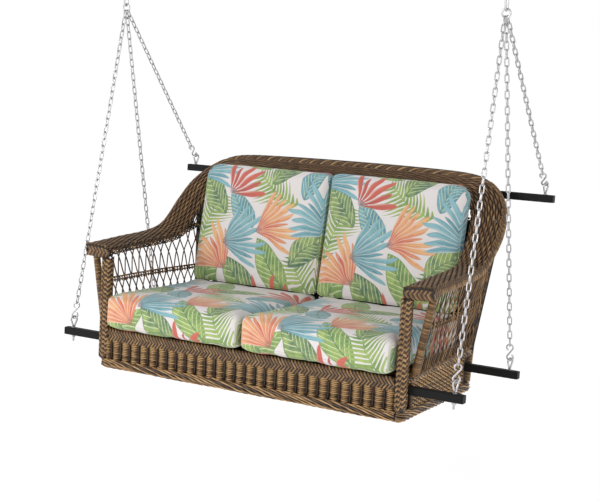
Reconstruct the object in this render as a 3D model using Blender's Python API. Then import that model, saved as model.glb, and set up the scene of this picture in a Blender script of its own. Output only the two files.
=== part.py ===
"""Porch swing seat: a resin-wicker two-seat bench on three steel bars, hung by six chains from the ceiling.

Units are metres, +Z up. The world origin lies in the ceiling plane, midway between the two ceiling plates.
The seat is modelled square in its own frame (X to the right seen from the front, Y to the back, Z up, origin
at the front bottom centre of the base) and then hung, leaning back, under the swing axis.
"""

import math

import bmesh
import bpy
from mathutils import Matrix, Vector

# Driving dimensions of the seat
BASE_HALF = 0.625  # half width of the base
BASE_DEPTH = 0.641
POST_WIDTH = 0.033
RIM_HEIGHT = 0.036  # twisted rope rim round the bottom
RAIL_TOP = 0.146  # top of the braided front rail
RAIL_DEPTH = 0.032
SEAT_BAND_TOP_FRONT = 0.151
SEAT_BAND_TOP_REAR = 0.168
DECK_BOTTOM = 0.1225
DECK_THICKNESS = 0.012
BACK_FOOT = (0.610, 0.1525)  # y and z of the back panel's lower edge
BACK_RECLINE = math.radians(9.6)
BACK_THICKNESS = 0.0152
WING_WRAP = 0.046  # how far the back's side edges come forward
GAP = 0.0004  # clearance between pieces that touch
BAND_INNER, BAND_OUTER = 0.6000, 0.6270  # x of the seat-level braid's two faces
BAND_REAR = 0.600  # y where the seat-level braid ends
APRON_INNER, APRON_OUTER = 0.6025, 0.6165  # x of the side apron's two faces
APRON_FRONT, APRON_REAR = 0.095, 0.556  # y between the openings where the bars come out
PANEL_OVERLAP = 0.004  # how far the woven panels reach into the rim below them
POST_TOP = 0.4045
POLE_FOOT = (0.6365, 0.0465, SEAT_BAND_TOP_FRONT + 0.003)  # wound pole outside each front post
POLE_HEAD = (0.6870, 0.0465, 0.4105)
REAR_POST_FOOT = (0.6070, 0.6225, RIM_HEIGHT + 0.002)
REAR_POST_HEAD = (0.6070, 0.7039, 0.6860)
REAR_POST_RADIUS = 0.0130
PANEL_HALF = 0.0040  # half the thickness of a lattice wall
PANEL_STEPS = 4  # sections between two stated ones: the wall twists, and its faces must not meet
POLE_RADIUS = 0.0135

# Steel bars, their ends and the chains' fixings
BAR_SIZE = 0.028
BAR_WALL = 0.002
BAR_HALF = 0.817
BARS = {  # y and z of each bar's centre
    "front_bar": (0.047, 0.107),
    "rear_bar": (0.580, 0.098),
    "back_bar": (0.832, 0.724),
}
CAP_DEPTH = 0.004  # length of the plastic end caps
TAB_X = 0.592  # plates that hang from the two lower bars
TAB_BOTTOM = 0.042
TAB_SPANS = {"front_bar": (0.036, 0.088), "rear_bar": (0.567, 0.596)}  # their front and back edges
STRAP_X = 0.35  # straps under the back bar
STRAP_FRONT = 0.7150
STRAP_HALF_WIDTH = 0.015
STRAP_DEPTH = 0.0075
EYE_X = 0.782
SHANK_RADIUS = 0.004
EYE_WIRE = 0.0035
EYE_ARC = 0.0125
EYE_HEIGHT = 0.044  # top of the eye's wire centre above the bar
HOOK_WIRE = 0.00325
HOOK_ARC = 0.0115
HOOK_SPAN = 0.0385  # between the centres of the S-hook's two arcs
CHAIN_RADIUS = 0.0055
EYE_TURN = math.radians(70)
HOOK_TURN = math.radians(10)

# Hanging points
RING_X = 0.773
RING_SEAT_YZ = (0.283, 1.352)  # the gather rings' centres in the seat frame
SEAT_LEAN = math.radians(6.85)
RING_DROP = 0.130  # gather ring's centre below the ceiling
RING_ARC = 0.015
RING_WIRE = 0.003
AXIS_DROP = 0.034  # swing axis below the ceiling
BAIL_WIRE = 0.004
LINK_WIRE = 0.0035
LINK_ARC = 0.011
PLATE_SIZE = (0.046, 0.096, 0.005)
SCREW_SPACING = 0.066
SCREW_RADIUS = 0.0035

# The rolled cap, from the front of the right arm to the middle of the back: outer and inner edge of its top
CAP_EDGES = [
    ((0.703, 0.000, 0.458), (0.597, 0.000, 0.450)),
    ((0.708, 0.200, 0.473), (0.597, 0.200, 0.463)),
    ((0.710, 0.380, 0.486), (0.597, 0.380, 0.474)),
    ((0.707, 0.490, 0.517), (0.594, 0.475, 0.493)),
    ((0.704, 0.591, 0.607), (0.586, 0.572, 0.570)),
    ((0.690, 0.665, 0.680), (0.574, 0.628, 0.645)),
    ((0.650, 0.723, 0.737), (0.545, 0.666, 0.692)),
    ((0.586, 0.755, 0.781), (0.498, 0.692, 0.722)),
    ((0.500, 0.769, 0.803), (0.430, 0.705, 0.736)),
    ((0.300, 0.772, 0.810), (0.280, 0.712, 0.743)),
    ((0.000, 0.772, 0.812), (0.000, 0.713, 0.745)),
]
CAP_SPLIT = 8  # station where an arm cap meets the top roll
CAP_OUTER_DEPTH = 0.045
CAP_MIDDLE_DEPTH = 0.014
CAP_INNER_DEPTH = 0.028
CAP_NOSE = 0.30  # stations over which the arm's solid front thins into the cap's ordinary section

MATERIALS = {  # colour, roughness, metallic
    "wicker": ((0.115, 0.062, 0.030), 0.55, 0.0),
    "black_steel": ((0.012, 0.012, 0.013), 0.40, 0.6),
    "zinc": ((0.52, 0.52, 0.55), 0.32, 1.0),
    "black_plastic": ((0.018, 0.018, 0.018), 0.50, 0.0),
    "cushion_fabric": ((0.80, 0.76, 0.72), 0.90, 0.0),
}


def clear_scene():
    for item in list(bpy.data.objects):
        bpy.data.objects.remove(item, do_unlink=True)


def get_material(name):
    found = bpy.data.materials.get(name)
    if found:
        return found
    colour, roughness, metallic = MATERIALS[name]
    made = bpy.data.materials.new(name)
    made.use_nodes = True
    shader = made.node_tree.nodes["Principled BSDF"]
    shader.inputs["Base Color"].default_value = (*colour, 1.0)
    shader.inputs["Roughness"].default_value = roughness
    shader.inputs["Metallic"].default_value = metallic
    made.diffuse_color = (*colour, 1.0)
    return made


def finish_mesh(name, bm, material, parent, smooth=False):
    """Turns a bmesh into a named object under its parent empty."""
    bmesh.ops.recalc_face_normals(bm, faces=bm.faces[:])
    mesh = bpy.data.meshes.new(name)
    bm.to_mesh(mesh)
    bm.free()
    if smooth:
        mesh.shade_smooth()
        mesh.set_sharp_from_angle(angle=math.radians(40))
    mesh.materials.append(get_material(material))
    made = bpy.data.objects.new(name, mesh)
    bpy.context.scene.collection.objects.link(made)
    made.parent = parent
    return made


def make_empty(name, location, parent=None, lean=0.0):
    made = bpy.data.objects.new(name, None)
    bpy.context.scene.collection.objects.link(made)
    made.location = location
    made.rotation_euler = (lean, 0.0, 0.0)
    made.parent = parent
    return made


def loft_into(bm, rings, closed=False):
    """Joins equal rings of points by quads, capping both ends unless the loft closes on itself."""
    loops = [[bm.verts.new(point) for point in ring] for ring in rings]
    count = len(loops[0])
    pairs = list(zip(loops, loops[1:]))
    if closed:
        pairs.append((loops[-1], loops[0]))
    for first, second in pairs:
        for i in range(count):
            j = (i + 1) % count
            bm.faces.new((first[i], first[j], second[j], second[i]))
    if not closed:
        bm.faces.new(loops[0][::-1])
        bm.faces.new(loops[-1])


def loft(name, rings, material, parent, closed=False, smooth=False):
    bm = bmesh.new()
    loft_into(bm, rings, closed)
    return finish_mesh(name, bm, material, parent, smooth)


def box_rings(low, high):
    """Two rings that loft into a box, along X."""
    corners = ((low[1], low[2]), (high[1], low[2]), (high[1], high[2]), (low[1], high[2]))
    return [[(x, y, z) for y, z in corners] for x in (low[0], high[0])]


def make_box(name, low, high, material, parent, bevel=0.0):
    made = loft(name, box_rings(low, high), material, parent)
    if bevel:
        add_bevel(made, bevel)
    return made


def add_bevel(target, width, segments=1):
    bevel = target.modifiers.new("edges", "BEVEL")
    bevel.width = width
    bevel.segments = segments
    bevel.limit_method = "ANGLE"


def add_boolean(target, other, operation):
    """Joins or cuts with a helper object, which stays out of the model."""
    other.hide_render = True
    other.display_type = "WIRE"
    step = target.modifiers.new(other.name, "BOOLEAN")
    step.operation = operation
    step.solver = "EXACT"
    step.object = other


def wire_rings(path, normal, radius, sides, closed):
    """Rings of a round wire along a path that lies in one plane with the given normal."""
    points = [Vector(point) for point in path]
    normal = Vector(normal).normalized()
    last = len(points) - 1
    rings = []
    for i, point in enumerate(points):
        before = points[i - 1] if i or closed else point
        after = points[(i + 1) % len(points)] if i < last or closed else point
        across = (after - before).normalized().cross(normal)
        ring = []
        for k in range(sides):
            turn = math.tau * k / sides
            ring.append(point + across * (radius * math.cos(turn)) + normal * (radius * math.sin(turn)))
        rings.append(ring)
    return rings


def rod_rings(start, end, radius, sides, end_radius=None):
    start, end = Vector(start), Vector(end)
    along = (end - start).normalized()
    across = along.orthogonal().normalized()
    upward = along.cross(across)
    rings = []
    for point, size in ((start, radius), (end, end_radius or radius)):
        turns = [math.tau * k / sides for k in range(sides)]
        rings.append([point + across * (size * math.cos(t)) + upward * (size * math.sin(t)) for t in turns])
    return rings


def arc_points(centre, radius, start, end, steps):
    """Points on an arc in a 2-D plane, angles in degrees."""
    turns = [math.radians(start + (end - start) * i / steps) for i in range(steps + 1)]
    return [(centre[0] + radius * math.cos(t), centre[1] + radius * math.sin(t)) for t in turns]


def place_flat(points, origin, across, upward):
    """2-D points put into the plane spanned by two directions."""
    return [Vector(origin) + Vector(across) * u + Vector(upward) * v for u, v in points]


def smooth_between(values, t):
    """Catmull-Rom value at t, counted in stations, of a list of points."""
    last = len(values) - 1
    i = min(int(t), last - 1)
    f = t - i
    p1, p2 = Vector(values[i]), Vector(values[i + 1])
    p0 = Vector(values[i - 1]) if i else p1 * 2 - p2
    # The list ends on the object's middle plane, so the point after it mirrors the one before.
    p3 = Vector(values[i + 2]) if i + 2 <= last else Vector((-p1.x, p1.y, p1.z))
    linear = 2 * p1 + (p2 - p0) * f
    square = (2 * p0 - 5 * p1 + 4 * p2 - p3) * f**2
    cube = (3 * p1 - p0 - 3 * p2 + p3) * f**3
    return 0.5 * (linear + square + cube)


def cap_edges(t):
    """Outer and inner top edge of the rolled cap at station t of the right half."""
    outer = smooth_between([pair[0] for pair in CAP_EDGES], t)
    inner = smooth_between([pair[1] for pair in CAP_EDGES], t)
    return outer, inner


def cap_ring(t):
    """The cap's cross-section: a thin woven band with a thick rolled rim outside and a thin one inside."""
    outer, inner = cap_edges(t)
    step = 0.05
    ahead = cap_edges(min(t + step, len(CAP_EDGES) - 1))[0] + cap_edges(min(t + step, len(CAP_EDGES) - 1))[1]
    behind = cap_edges(max(t - step, 0))[0] + cap_edges(max(t - step, 0))[1]
    along = (ahead - behind).normalized()
    inward = (inner - outer).normalized()
    down = inward.cross(along).normalized()
    nose = max(1 - t / CAP_NOSE, 0.0)
    middle = CAP_MIDDLE_DEPTH + (CAP_OUTER_DEPTH - 0.001 - CAP_MIDDLE_DEPTH) * nose
    edge = CAP_INNER_DEPTH + (CAP_OUTER_DEPTH - CAP_INNER_DEPTH) * nose
    return [
        outer,
        inner,
        inner + down * edge,
        inner - inward * 0.020 + down * middle,
        outer + inward * 0.028 + down * middle,
        outer + inward * 0.026 + down * CAP_OUTER_DEPTH,
        outer + inward * 0.004 + down * CAP_OUTER_DEPTH,
    ]


def mirrored(rings):
    return [[(-point[0], point[1], point[2]) for point in ring] for ring in rings]


def both_sides(rings):
    """The same rings for the right and, mirrored, for the left."""
    plain = [[tuple(point) for point in ring] for ring in rings]
    return (("right", plain), ("left", mirrored(plain)))


def make_caps(parent):
    arm = [cap_ring(i * CAP_SPLIT / 24) for i in range(25)]
    for side, rings in both_sides(arm):
        loft(f"{side}_arm_cap", rings, "wicker", parent, smooth=True)
    half = [cap_ring(CAP_SPLIT + 0.012 + i * (10 - CAP_SPLIT - 0.012) / 7) for i in range(8)]
    half = [[tuple(point) for point in ring] for ring in half]
    whole = half[:-1] + [half[-1]] + mirrored(half[:-1])[::-1]
    loft("top_roll", whole, "wicker", parent, smooth=True)


def make_bar(name, parent):
    y, z = BARS[name]
    half = BAR_SIZE / 2
    end = BAR_HALF - CAP_DEPTH
    bar = make_box(name, (-end, y - half, z - half), (end, y + half, z + half), "black_steel", parent, 0.002)
    inside = half - BAR_WALL
    hollow = box_rings((-BAR_HALF, y - inside, z - inside), (BAR_HALF, y + inside, z + inside))
    add_boolean(bar, loft(f"{name}_hollow", hollow, "black_steel", parent), "DIFFERENCE")
    for side in (-1, 1):
        tag = f"{name}_{'right' if side > 0 else 'left'}"
        if name == "back_bar":
            # A strap under the bar reaches forward to the back panel.
            low = (side * STRAP_X - STRAP_HALF_WIDTH, STRAP_FRONT, z - half - STRAP_DEPTH)
            high = (side * STRAP_X + STRAP_HALF_WIDTH, y + half - 0.003, z - half + BAR_WALL / 2)
        else:
            # A plate hangs from the bar inside the side apron, where it bolts to the seat's frame.
            front, back = TAB_SPANS[name]
            low = (side * TAB_X - 0.004, front, TAB_BOTTOM)
            high = (side * TAB_X + 0.004, back, z - half + BAR_WALL / 2)
        add_boolean(bar, make_box(f"{tag}_tab", low, high, "black_steel", parent), "UNION")
        drill = rod_rings((side * EYE_X, y, z - 0.05), (side * EYE_X, y, z + 0.05), SHANK_RADIUS + GAP, 12)
        add_boolean(bar, loft(f"{tag}_drill", drill, "black_steel", parent), "DIFFERENCE")
        inner, outer = sorted((side * (end + GAP), side * BAR_HALF))
        make_box(f"{tag}_end_cap", (inner, y - half, z - half), (outer, y + half, z + half), "black_plastic",
                 parent, 0.0015)


def eye_outline():
    """A pear-shaped loop: a round top and straight sides that close on the shank."""
    top = arc_points((0.0, EYE_HEIGHT - EYE_ARC), EYE_ARC, -15, 195, 12)
    foot = [(-0.0042, 0.0065), (0.0, 0.0040), (0.0042, 0.0065)]
    return top + foot


def make_eye_bolt(name, x, y, top, tail, parent):
    """An eye bolt standing on a bar, with a tail that reaches down through it."""
    across = Vector((math.cos(EYE_TURN), math.sin(EYE_TURN), 0.0))
    normal = across.cross(Vector((0, 0, 1)))
    path = place_flat(eye_outline(), (x, y, top), across, (0, 0, 1))
    eye = loft(name, wire_rings(path, normal, EYE_WIRE, 8, True), "zinc", parent, closed=True, smooth=True)
    shank = rod_rings((x, y, top + 0.006), (x, y, top - tail), SHANK_RADIUS, 10)
    add_boolean(eye, loft(f"{name}_shank", shank, "zinc", parent), "UNION")


def hook_outline():
    """An S-hook whose lower arc is centred on the origin: two nearly closed arcs and a straight diagonal."""
    lean = math.degrees(math.asin(2 * HOOK_ARC / HOOK_SPAN))
    lower = arc_points((0, 0), HOOK_ARC, 62, -180 - lean, 16)
    upper = arc_points((0, HOOK_SPAN), HOOK_ARC, -lean, 180 + 62, 16)
    return lower + upper


def make_chain(name, side, bar, parent):
    """Eye bolt, S-hook and taut chain from one bar end up to its gather ring."""
    y, z = BARS[bar]
    top = z + BAR_SIZE / 2
    x = side * EYE_X
    label = f"{'right' if side > 0 else 'left'}_{name}"
    tail = BAR_SIZE + 0.024 if bar == "front_bar" else BAR_SIZE
    make_eye_bolt(f"{label}_eye_bolt", x, y, top, tail, parent)
    if bar == "front_bar":
        make_nut(f"{label}_lock_nut", x, y, top - BAR_SIZE, parent)
    ring = Vector((side * RING_X, *RING_SEAT_YZ))
    eye_centre = Vector((x, y, top + EYE_HEIGHT - EYE_ARC))
    pull = ring - eye_centre
    eye_normal = Vector((math.sin(EYE_TURN), -math.cos(EYE_TURN), 0.0))
    outward = (pull - eye_normal * pull.dot(eye_normal)).normalized()
    bearing = eye_centre + outward * (EYE_ARC - EYE_WIRE)
    along = (ring - bearing).normalized()
    level = Vector((math.cos(HOOK_TURN), math.sin(HOOK_TURN), 0.0))
    across = (level - along * level.dot(along)).normalized()
    normal = across.cross(along)
    origin = bearing + along * (HOOK_ARC - HOOK_WIRE - 3 * GAP)
    path = place_flat(hook_outline(), origin, across, along)
    loft(f"{label}_s_hook", wire_rings(path, normal, HOOK_WIRE, 8, False), "zinc", parent, smooth=True)
    start = origin + along * (HOOK_SPAN + HOOK_ARC + HOOK_WIRE + GAP)
    end = ring - along * (RING_ARC + RING_WIRE + 0.008)
    loft(f"{label}_chain", rod_rings(start, end, CHAIN_RADIUS, 8), "zinc", parent, smooth=True)


def make_nut(name, x, y, top, parent):
    nut = loft(name, rod_rings((x, y, top - GAP), (x, y, top - 0.008), 0.0085, 6), "zinc", parent)
    drill = rod_rings((x, y, top + 0.01), (x, y, top - 0.02), SHANK_RADIUS + GAP, 12)
    add_boolean(nut, loft(f"{name}_drill", drill, "zinc", parent), "DIFFERENCE")


def make_posts(parent):
    inner = BASE_HALF - POST_WIDTH
    for side, sign in (("right", 1), ("left", -1)):
        xs = sorted((sign * inner, sign * BASE_HALF))
        make_box(f"{side}_front_post", (xs[0], 0.0, RIM_HEIGHT + GAP), (xs[1], RAIL_DEPTH, POST_TOP),
                 "wicker", parent, 0.006)
        turn = Vector((sign, 1, 1))
        pole = rod_rings(Vector(POLE_FOOT) * turn, Vector(POLE_HEAD) * turn, POLE_RADIUS, 12)
        loft(f"{side}_outer_pole", pole, "wicker", parent, smooth=True)
        post = rod_rings(Vector(REAR_POST_FOOT) * turn, Vector(REAR_POST_HEAD) * turn, REAR_POST_RADIUS, 12)
        loft(f"{side}_rear_post", post, "wicker", parent, smooth=True)


def make_front_apron(parent):
    inner = BASE_HALF - POST_WIDTH - GAP
    foot = RIM_HEIGHT - PANEL_OVERLAP
    edge = RAIL_TOP - 0.004
    profile = [(0.012, foot), (0.026, foot), (0.026, 0.106), (RAIL_DEPTH, 0.108), (RAIL_DEPTH, edge),
               (0.028, RAIL_TOP), (0.004, RAIL_TOP), (0.0, edge), (0.0, 0.109), (0.012, 0.106)]
    rings = [[(x, y, z) for y, z in profile] for x in (-inner, inner)]
    apron = loft("front_apron", rings, "wicker", parent)
    rim = make_box("front_rim", (-BASE_HALF, 0.0, 0.0), (BASE_HALF, RAIL_DEPTH, RIM_HEIGHT), "wicker",
                   parent, 0.008)
    add_boolean(apron, rim, "UNION")


def make_rear_apron(parent):
    half = 0.5935
    apron = make_box("rear_apron", (-half, 0.614, RIM_HEIGHT - PANEL_OVERLAP), (half, 0.630, 0.1505),
                     "wicker", parent)
    front = BASE_DEPTH - RAIL_DEPTH
    rim = make_box("rear_rim", (-BASE_HALF, front, 0.0), (BASE_HALF, BASE_DEPTH, RIM_HEIGHT), "wicker",
                   parent, 0.008)
    add_boolean(apron, rim, "UNION")


def make_side_aprons(parent):
    """Rim, woven panel and seat-level braid of each side, open where the bars come out."""
    front, back = RAIL_DEPTH + GAP, BASE_DEPTH - RAIL_DEPTH - GAP
    for side, sign in (("right", 1), ("left", -1)):
        rim_x = sorted((sign * (BASE_HALF - RAIL_DEPTH), sign * BASE_HALF))
        panel_x = sorted((sign * APRON_INNER, sign * APRON_OUTER))
        panel = make_box(f"{side}_side_apron", (panel_x[0], APRON_FRONT, RIM_HEIGHT - PANEL_OVERLAP),
                         (panel_x[1], APRON_REAR, 0.134), "wicker", parent)
        rim = make_box(f"{side}_rim", (rim_x[0], front, 0.0), (rim_x[1], back, RIM_HEIGHT), "wicker", parent,
                       0.007)
        add_boolean(panel, rim, "UNION")
        bands = []
        for x in (sign * BAND_INNER, sign * BAND_OUTER):
            bands.append([(x, front, DECK_BOTTOM + 0.001), (x, BAND_REAR, 0.131),
                          (x, BAND_REAR, SEAT_BAND_TOP_REAR), (x, front, SEAT_BAND_TOP_FRONT)])
        band = loft(f"{side}_band", bands, "wicker", parent)
        add_bevel(band, 0.004)
        add_boolean(panel, band, "UNION")


def make_side_panels(parent):
    """The lattice walls, ruled from the seat-level braid up and outwards to the cap's outer rim."""
    foot_front = Vector((0.6325, 0.063, SEAT_BAND_TOP_FRONT + 0.003))
    foot_rear = Vector((0.6120, 0.620, SEAT_BAND_TOP_REAR + 0.002))
    head = [(0.685, 0.063, 0.413), (0.688, 0.200, 0.423), (0.688, 0.330, 0.431), (0.682, 0.440, 0.444),
            (0.664, 0.585, 0.524), (0.642, 0.666, 0.590)]
    uppers = []
    for first, second in zip(head, head[1:]):
        for step in range(PANEL_STEPS):
            uppers.append(Vector(first).lerp(Vector(second), step / PANEL_STEPS))
    uppers.append(Vector(head[-1]))
    out = Vector((PANEL_HALF, 0, 0))
    rings = []
    for upper in uppers:
        share = (upper.y - head[0][1]) / (head[-1][1] - head[0][1])
        lower = foot_front.lerp(foot_rear, share)
        rings.append([lower - out, lower + out, upper + out, upper - out])
    for side, loops in both_sides(rings):
        loft(f"{side}_side_panel", loops, "wicker", parent)


def back_surface(x, z, offset):
    """A point of the back panel: reclined, with its side edges wrapping forward."""
    y = BACK_FOOT[0] + (z - BACK_FOOT[1]) * math.tan(BACK_RECLINE)
    share = min(max((abs(x) - 0.46) / 0.12, 0.0), 1.0)
    wrap = WING_WRAP * share * share * (3 - 2 * share)
    return (x, y - wrap + offset, z)


def back_top(x):
    """Height of the back panel's upper edge: level in the middle, rounded down at both corners."""
    over = max(abs(x) - 0.42, 0.0) / 0.155
    return 0.722 - 0.150 * (1 - math.sqrt(max(1 - min(over, 1.0) ** 2, 0.0)))


def make_back_panel(parent):
    half_width = 0.575
    columns = 22
    rows = 5
    rings = []
    for i in range(columns + 1):
        x = -half_width * math.cos(math.pi * i / columns)
        top = back_top(x)
        heights = [BACK_FOOT[1] + (top - BACK_FOOT[1]) * k / rows for k in range(rows + 1)]
        face = [back_surface(x, z, -BACK_THICKNESS / 2) for z in heights]
        rear = [back_surface(x, z, BACK_THICKNESS / 2) for z in heights]
        rings.append(face + rear[::-1])
    loft("back_panel", rings, "wicker", parent, smooth=True)


def make_deck(parent):
    half = BAND_INNER - 0.0015
    top = DECK_BOTTOM + DECK_THICKNESS
    make_box("seat_deck", (-half, RAIL_DEPTH + GAP, DECK_BOTTOM), (half, BAND_REAR, top), "wicker", parent)


def cushion_grid(name, low, high, corner, crown, parent, shape=None):
    """A boxed cushion with rounded edges and a crowned top, bent to its place by shape."""
    steps = 6
    bm = bmesh.new()
    bmesh.ops.create_cube(bm, size=2.0)
    bmesh.ops.subdivide_edges(bm, edges=bm.edges[:], cuts=steps, use_grid_fill=True)
    half = [(b - a) / 2 for a, b in zip(low, high)]
    middle = [(a + b) / 2 for a, b in zip(low, high)]
    for vert in bm.verts:
        flat = Vector((vert.co.x * half[0], vert.co.y * half[1], vert.co.z * half[2]))
        core = Vector([max(-h + corner, min(h - corner, c)) for h, c in zip(half, flat)])
        off = flat - core
        if off.length:
            flat = core + off.normalized() * min(off.length, corner)
        plump = (1 - vert.co.x**2) * (1 - vert.co.y**2)
        flat.z += crown * plump * max(vert.co.z, 0.0)
        flat.y -= crown * (1 - vert.co.x**2) * (1 - vert.co.z**2) * max(-vert.co.y, 0.0)
        vert.co = flat + Vector(middle)
        if shape:
            vert.co = shape(vert.co)
    return finish_mesh(name, bm, "cushion_fabric", parent, smooth=True)


def make_cushions(parent):
    foot_z = 0.2955

    def recline(point):
        return point + Vector((0, (point.z - foot_z) * math.tan(BACK_RECLINE), 0))

    for side, sign in (("right", 1), ("left", -1)):
        xs = sorted((sign * 0.004, sign * 0.5840))
        cushion_grid(f"{side}_seat_cushion", (xs[0], -0.034, 0.1475), (xs[1], 0.5600, 0.2850), 0.030, 0.010,
                     parent)
        xs = sorted((sign * 0.004, sign * 0.5650))
        cushion_grid(f"{side}_back_cushion", (xs[0], 0.506, foot_z), (xs[1], 0.5935, 0.7600), 0.034, 0.010,
                     parent, recline)


def make_ceiling_side(side, sign, parent):
    """One ceiling plate with its welded bail, and the two lag screws that hold it."""
    wide, deep, thick = PLATE_SIZE
    x = sign * RING_X
    low, high = (x - wide / 2, -deep / 2, -thick), (x + wide / 2, deep / 2, 0.0)
    plate = make_box(f"{side}_ceiling_plate", low, high, "zinc", parent, 0.001)
    half = 0.013
    bend = arc_points((0, -(AXIS_DROP - half)), half, 180, 360, 10)
    outline = [(-half, -thick / 2)] + bend + [(half, -thick / 2)]
    path = place_flat(outline, (x, 0, 0), (1, 0, 0), (0, 0, 1))
    bail = loft(f"{side}_bail", wire_rings(path, (0, 1, 0), BAIL_WIRE, 8, False), "zinc", parent)
    add_boolean(plate, bail, "UNION")
    for label, place in (("front", -1), ("rear", 1)):
        y = place * SCREW_SPACING / 2
        hole = rod_rings((x, y, -0.02), (x, y, 0.02), SCREW_RADIUS + GAP, 12)
        add_boolean(plate, loft(f"{side}_{label}_screw_hole", hole, "zinc", parent), "DIFFERENCE")
        screw = loft(f"{side}_{label}_lag_screw", rod_rings((x, y, -thick + 0.001), (x, y, 0.045),
                                                           SCREW_RADIUS, 10, 0.0020), "zinc", parent)
        head = rod_rings((x, y, -thick - 0.0052), (x, y, -thick - GAP), 0.0072, 6)
        cap = loft(f"{side}_{label}_screw_head", head, "zinc", parent)
        collar = rod_rings((x, y, -thick - 0.003), (x, y, 0.0), 0.0033, 10)
        neck = loft(f"{side}_{label}_screw_neck", collar, "zinc", parent)
        add_boolean(screw, neck, "UNION")
        add_boolean(screw, cap, "UNION")


def make_hanger(side, sign, pivot):
    """The long link that swings on the bail, and the gather ring in it. Both hang from the swing axis."""
    x = sign * RING_X
    top = BAIL_WIRE + LINK_WIRE + GAP
    ring_z = -(RING_DROP - AXIS_DROP)
    bottom = ring_z + RING_ARC - RING_WIRE - LINK_WIRE - GAP
    upper = arc_points((0, top - LINK_ARC), LINK_ARC, 0, 180, 10)
    lower = arc_points((0, bottom + LINK_ARC), LINK_ARC, 180, 360, 10)
    path = place_flat(upper + lower, (x, 0, 0), (0, 1, 0), (0, 0, 1))
    rings = wire_rings(path, (1, 0, 0), LINK_WIRE, 8, True)
    loft(f"{side}_top_link", rings, "zinc", pivot, closed=True, smooth=True)
    circle = arc_points((0, ring_z), RING_ARC, 0, 345, 23)
    path = place_flat(circle, (x, 0, 0), (1, 0, 0), (0, 0, 1))
    loft(f"{side}_gather_ring", wire_rings(path, (0, 1, 0), RING_WIRE, 8, True), "zinc", pivot, closed=True,
         smooth=True)


def seat_origin():
    """Where the seat frame's origin lies under the swing axis, with its ring points on the gather rings."""
    lean = Matrix.Rotation(-SEAT_LEAN, 3, "X")
    return Vector((0, 0, -(RING_DROP - AXIS_DROP))) - lean @ Vector((0, *RING_SEAT_YZ))


def main():
    clear_scene()
    ceiling = make_empty("ceiling", (0, 0, 0))
    pivot = make_empty("swing_pivot", (0, 0, -AXIS_DROP))
    seat = make_empty("seat_frame", seat_origin(), pivot, -SEAT_LEAN)
    for side, sign in (("right", 1), ("left", -1)):
        make_ceiling_side(side, sign, ceiling)
        make_hanger(side, sign, pivot)
        make_chain("front", sign, "front_bar", seat)
        make_chain("rear", sign, "rear_bar", seat)
        make_chain("back", sign, "back_bar", seat)
    for name in BARS:
        make_bar(name, seat)
    make_posts(seat)
    make_front_apron(seat)
    make_rear_apron(seat)
    make_side_aprons(seat)
    make_deck(seat)
    make_side_panels(seat)
    make_back_panel(seat)
    make_caps(seat)
    make_cushions(seat)


main()
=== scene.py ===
"""Looks of the porch swing seat: woven resin wicker, link chains, painted bars and print cushions."""

import math

import bmesh
import bpy
import numpy as np
from mathutils import Matrix, Vector
from mathutils.bvhtree import BVHTree
from mathutils.kdtree import KDTree


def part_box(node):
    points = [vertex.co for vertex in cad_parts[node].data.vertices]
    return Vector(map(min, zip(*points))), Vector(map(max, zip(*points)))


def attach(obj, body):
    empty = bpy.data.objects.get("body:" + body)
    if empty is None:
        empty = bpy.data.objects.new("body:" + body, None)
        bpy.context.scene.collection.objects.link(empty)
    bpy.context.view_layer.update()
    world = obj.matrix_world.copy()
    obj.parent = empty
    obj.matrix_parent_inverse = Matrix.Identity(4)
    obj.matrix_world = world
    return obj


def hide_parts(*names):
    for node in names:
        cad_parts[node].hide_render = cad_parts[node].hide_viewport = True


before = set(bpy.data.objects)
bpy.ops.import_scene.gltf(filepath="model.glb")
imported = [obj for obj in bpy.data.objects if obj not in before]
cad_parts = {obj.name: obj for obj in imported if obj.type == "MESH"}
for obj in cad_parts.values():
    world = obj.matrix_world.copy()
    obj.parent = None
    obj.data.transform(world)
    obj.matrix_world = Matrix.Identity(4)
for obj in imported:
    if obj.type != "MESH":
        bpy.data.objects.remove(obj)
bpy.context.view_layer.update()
RANDOM = np.random.default_rng(11)

# ---- the seat's own frame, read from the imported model


def seat_matrix():
    """From the seat's square frame (X right, Y back, Z up from its front bottom edge) to the row frame."""
    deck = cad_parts["seat_deck"].data
    flat = max(deck.polygons, key=lambda face: face.area * (face.normal.z > 0))
    lean = Matrix.Rotation(-math.atan2(flat.normal.y, flat.normal.z), 4, "X")
    corners = [lean.inverted() @ vert.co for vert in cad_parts["front_apron"].data.vertices]
    low = Vector((0, min(c.y for c in corners), min(c.z for c in corners)))
    return Matrix.Translation(lean @ low) @ lean


SEAT = seat_matrix()


def seat_box(name):
    """Lowest and highest corner of a CAD node in the seat's frame."""
    back = np.array(SEAT.inverted())
    points = np.array([vert.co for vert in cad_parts[name].data.vertices])
    points = points @ back[:3, :3].T + back[:3, 3]
    return points.min(0), points.max(0)


# ---- strands


def unit(vectors):
    return vectors / np.maximum(np.linalg.norm(vectors, axis=-1, keepdims=True), 1e-12)


def smooth(value):
    value = np.clip(value, 0.0, 1.0)
    return value * value * (3 - 2 * value)


def flattened(wave):
    """A wave with broader crests, as a stiff strand makes over its ribs."""
    return np.sign(wave) * np.abs(wave) ** 0.7


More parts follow.
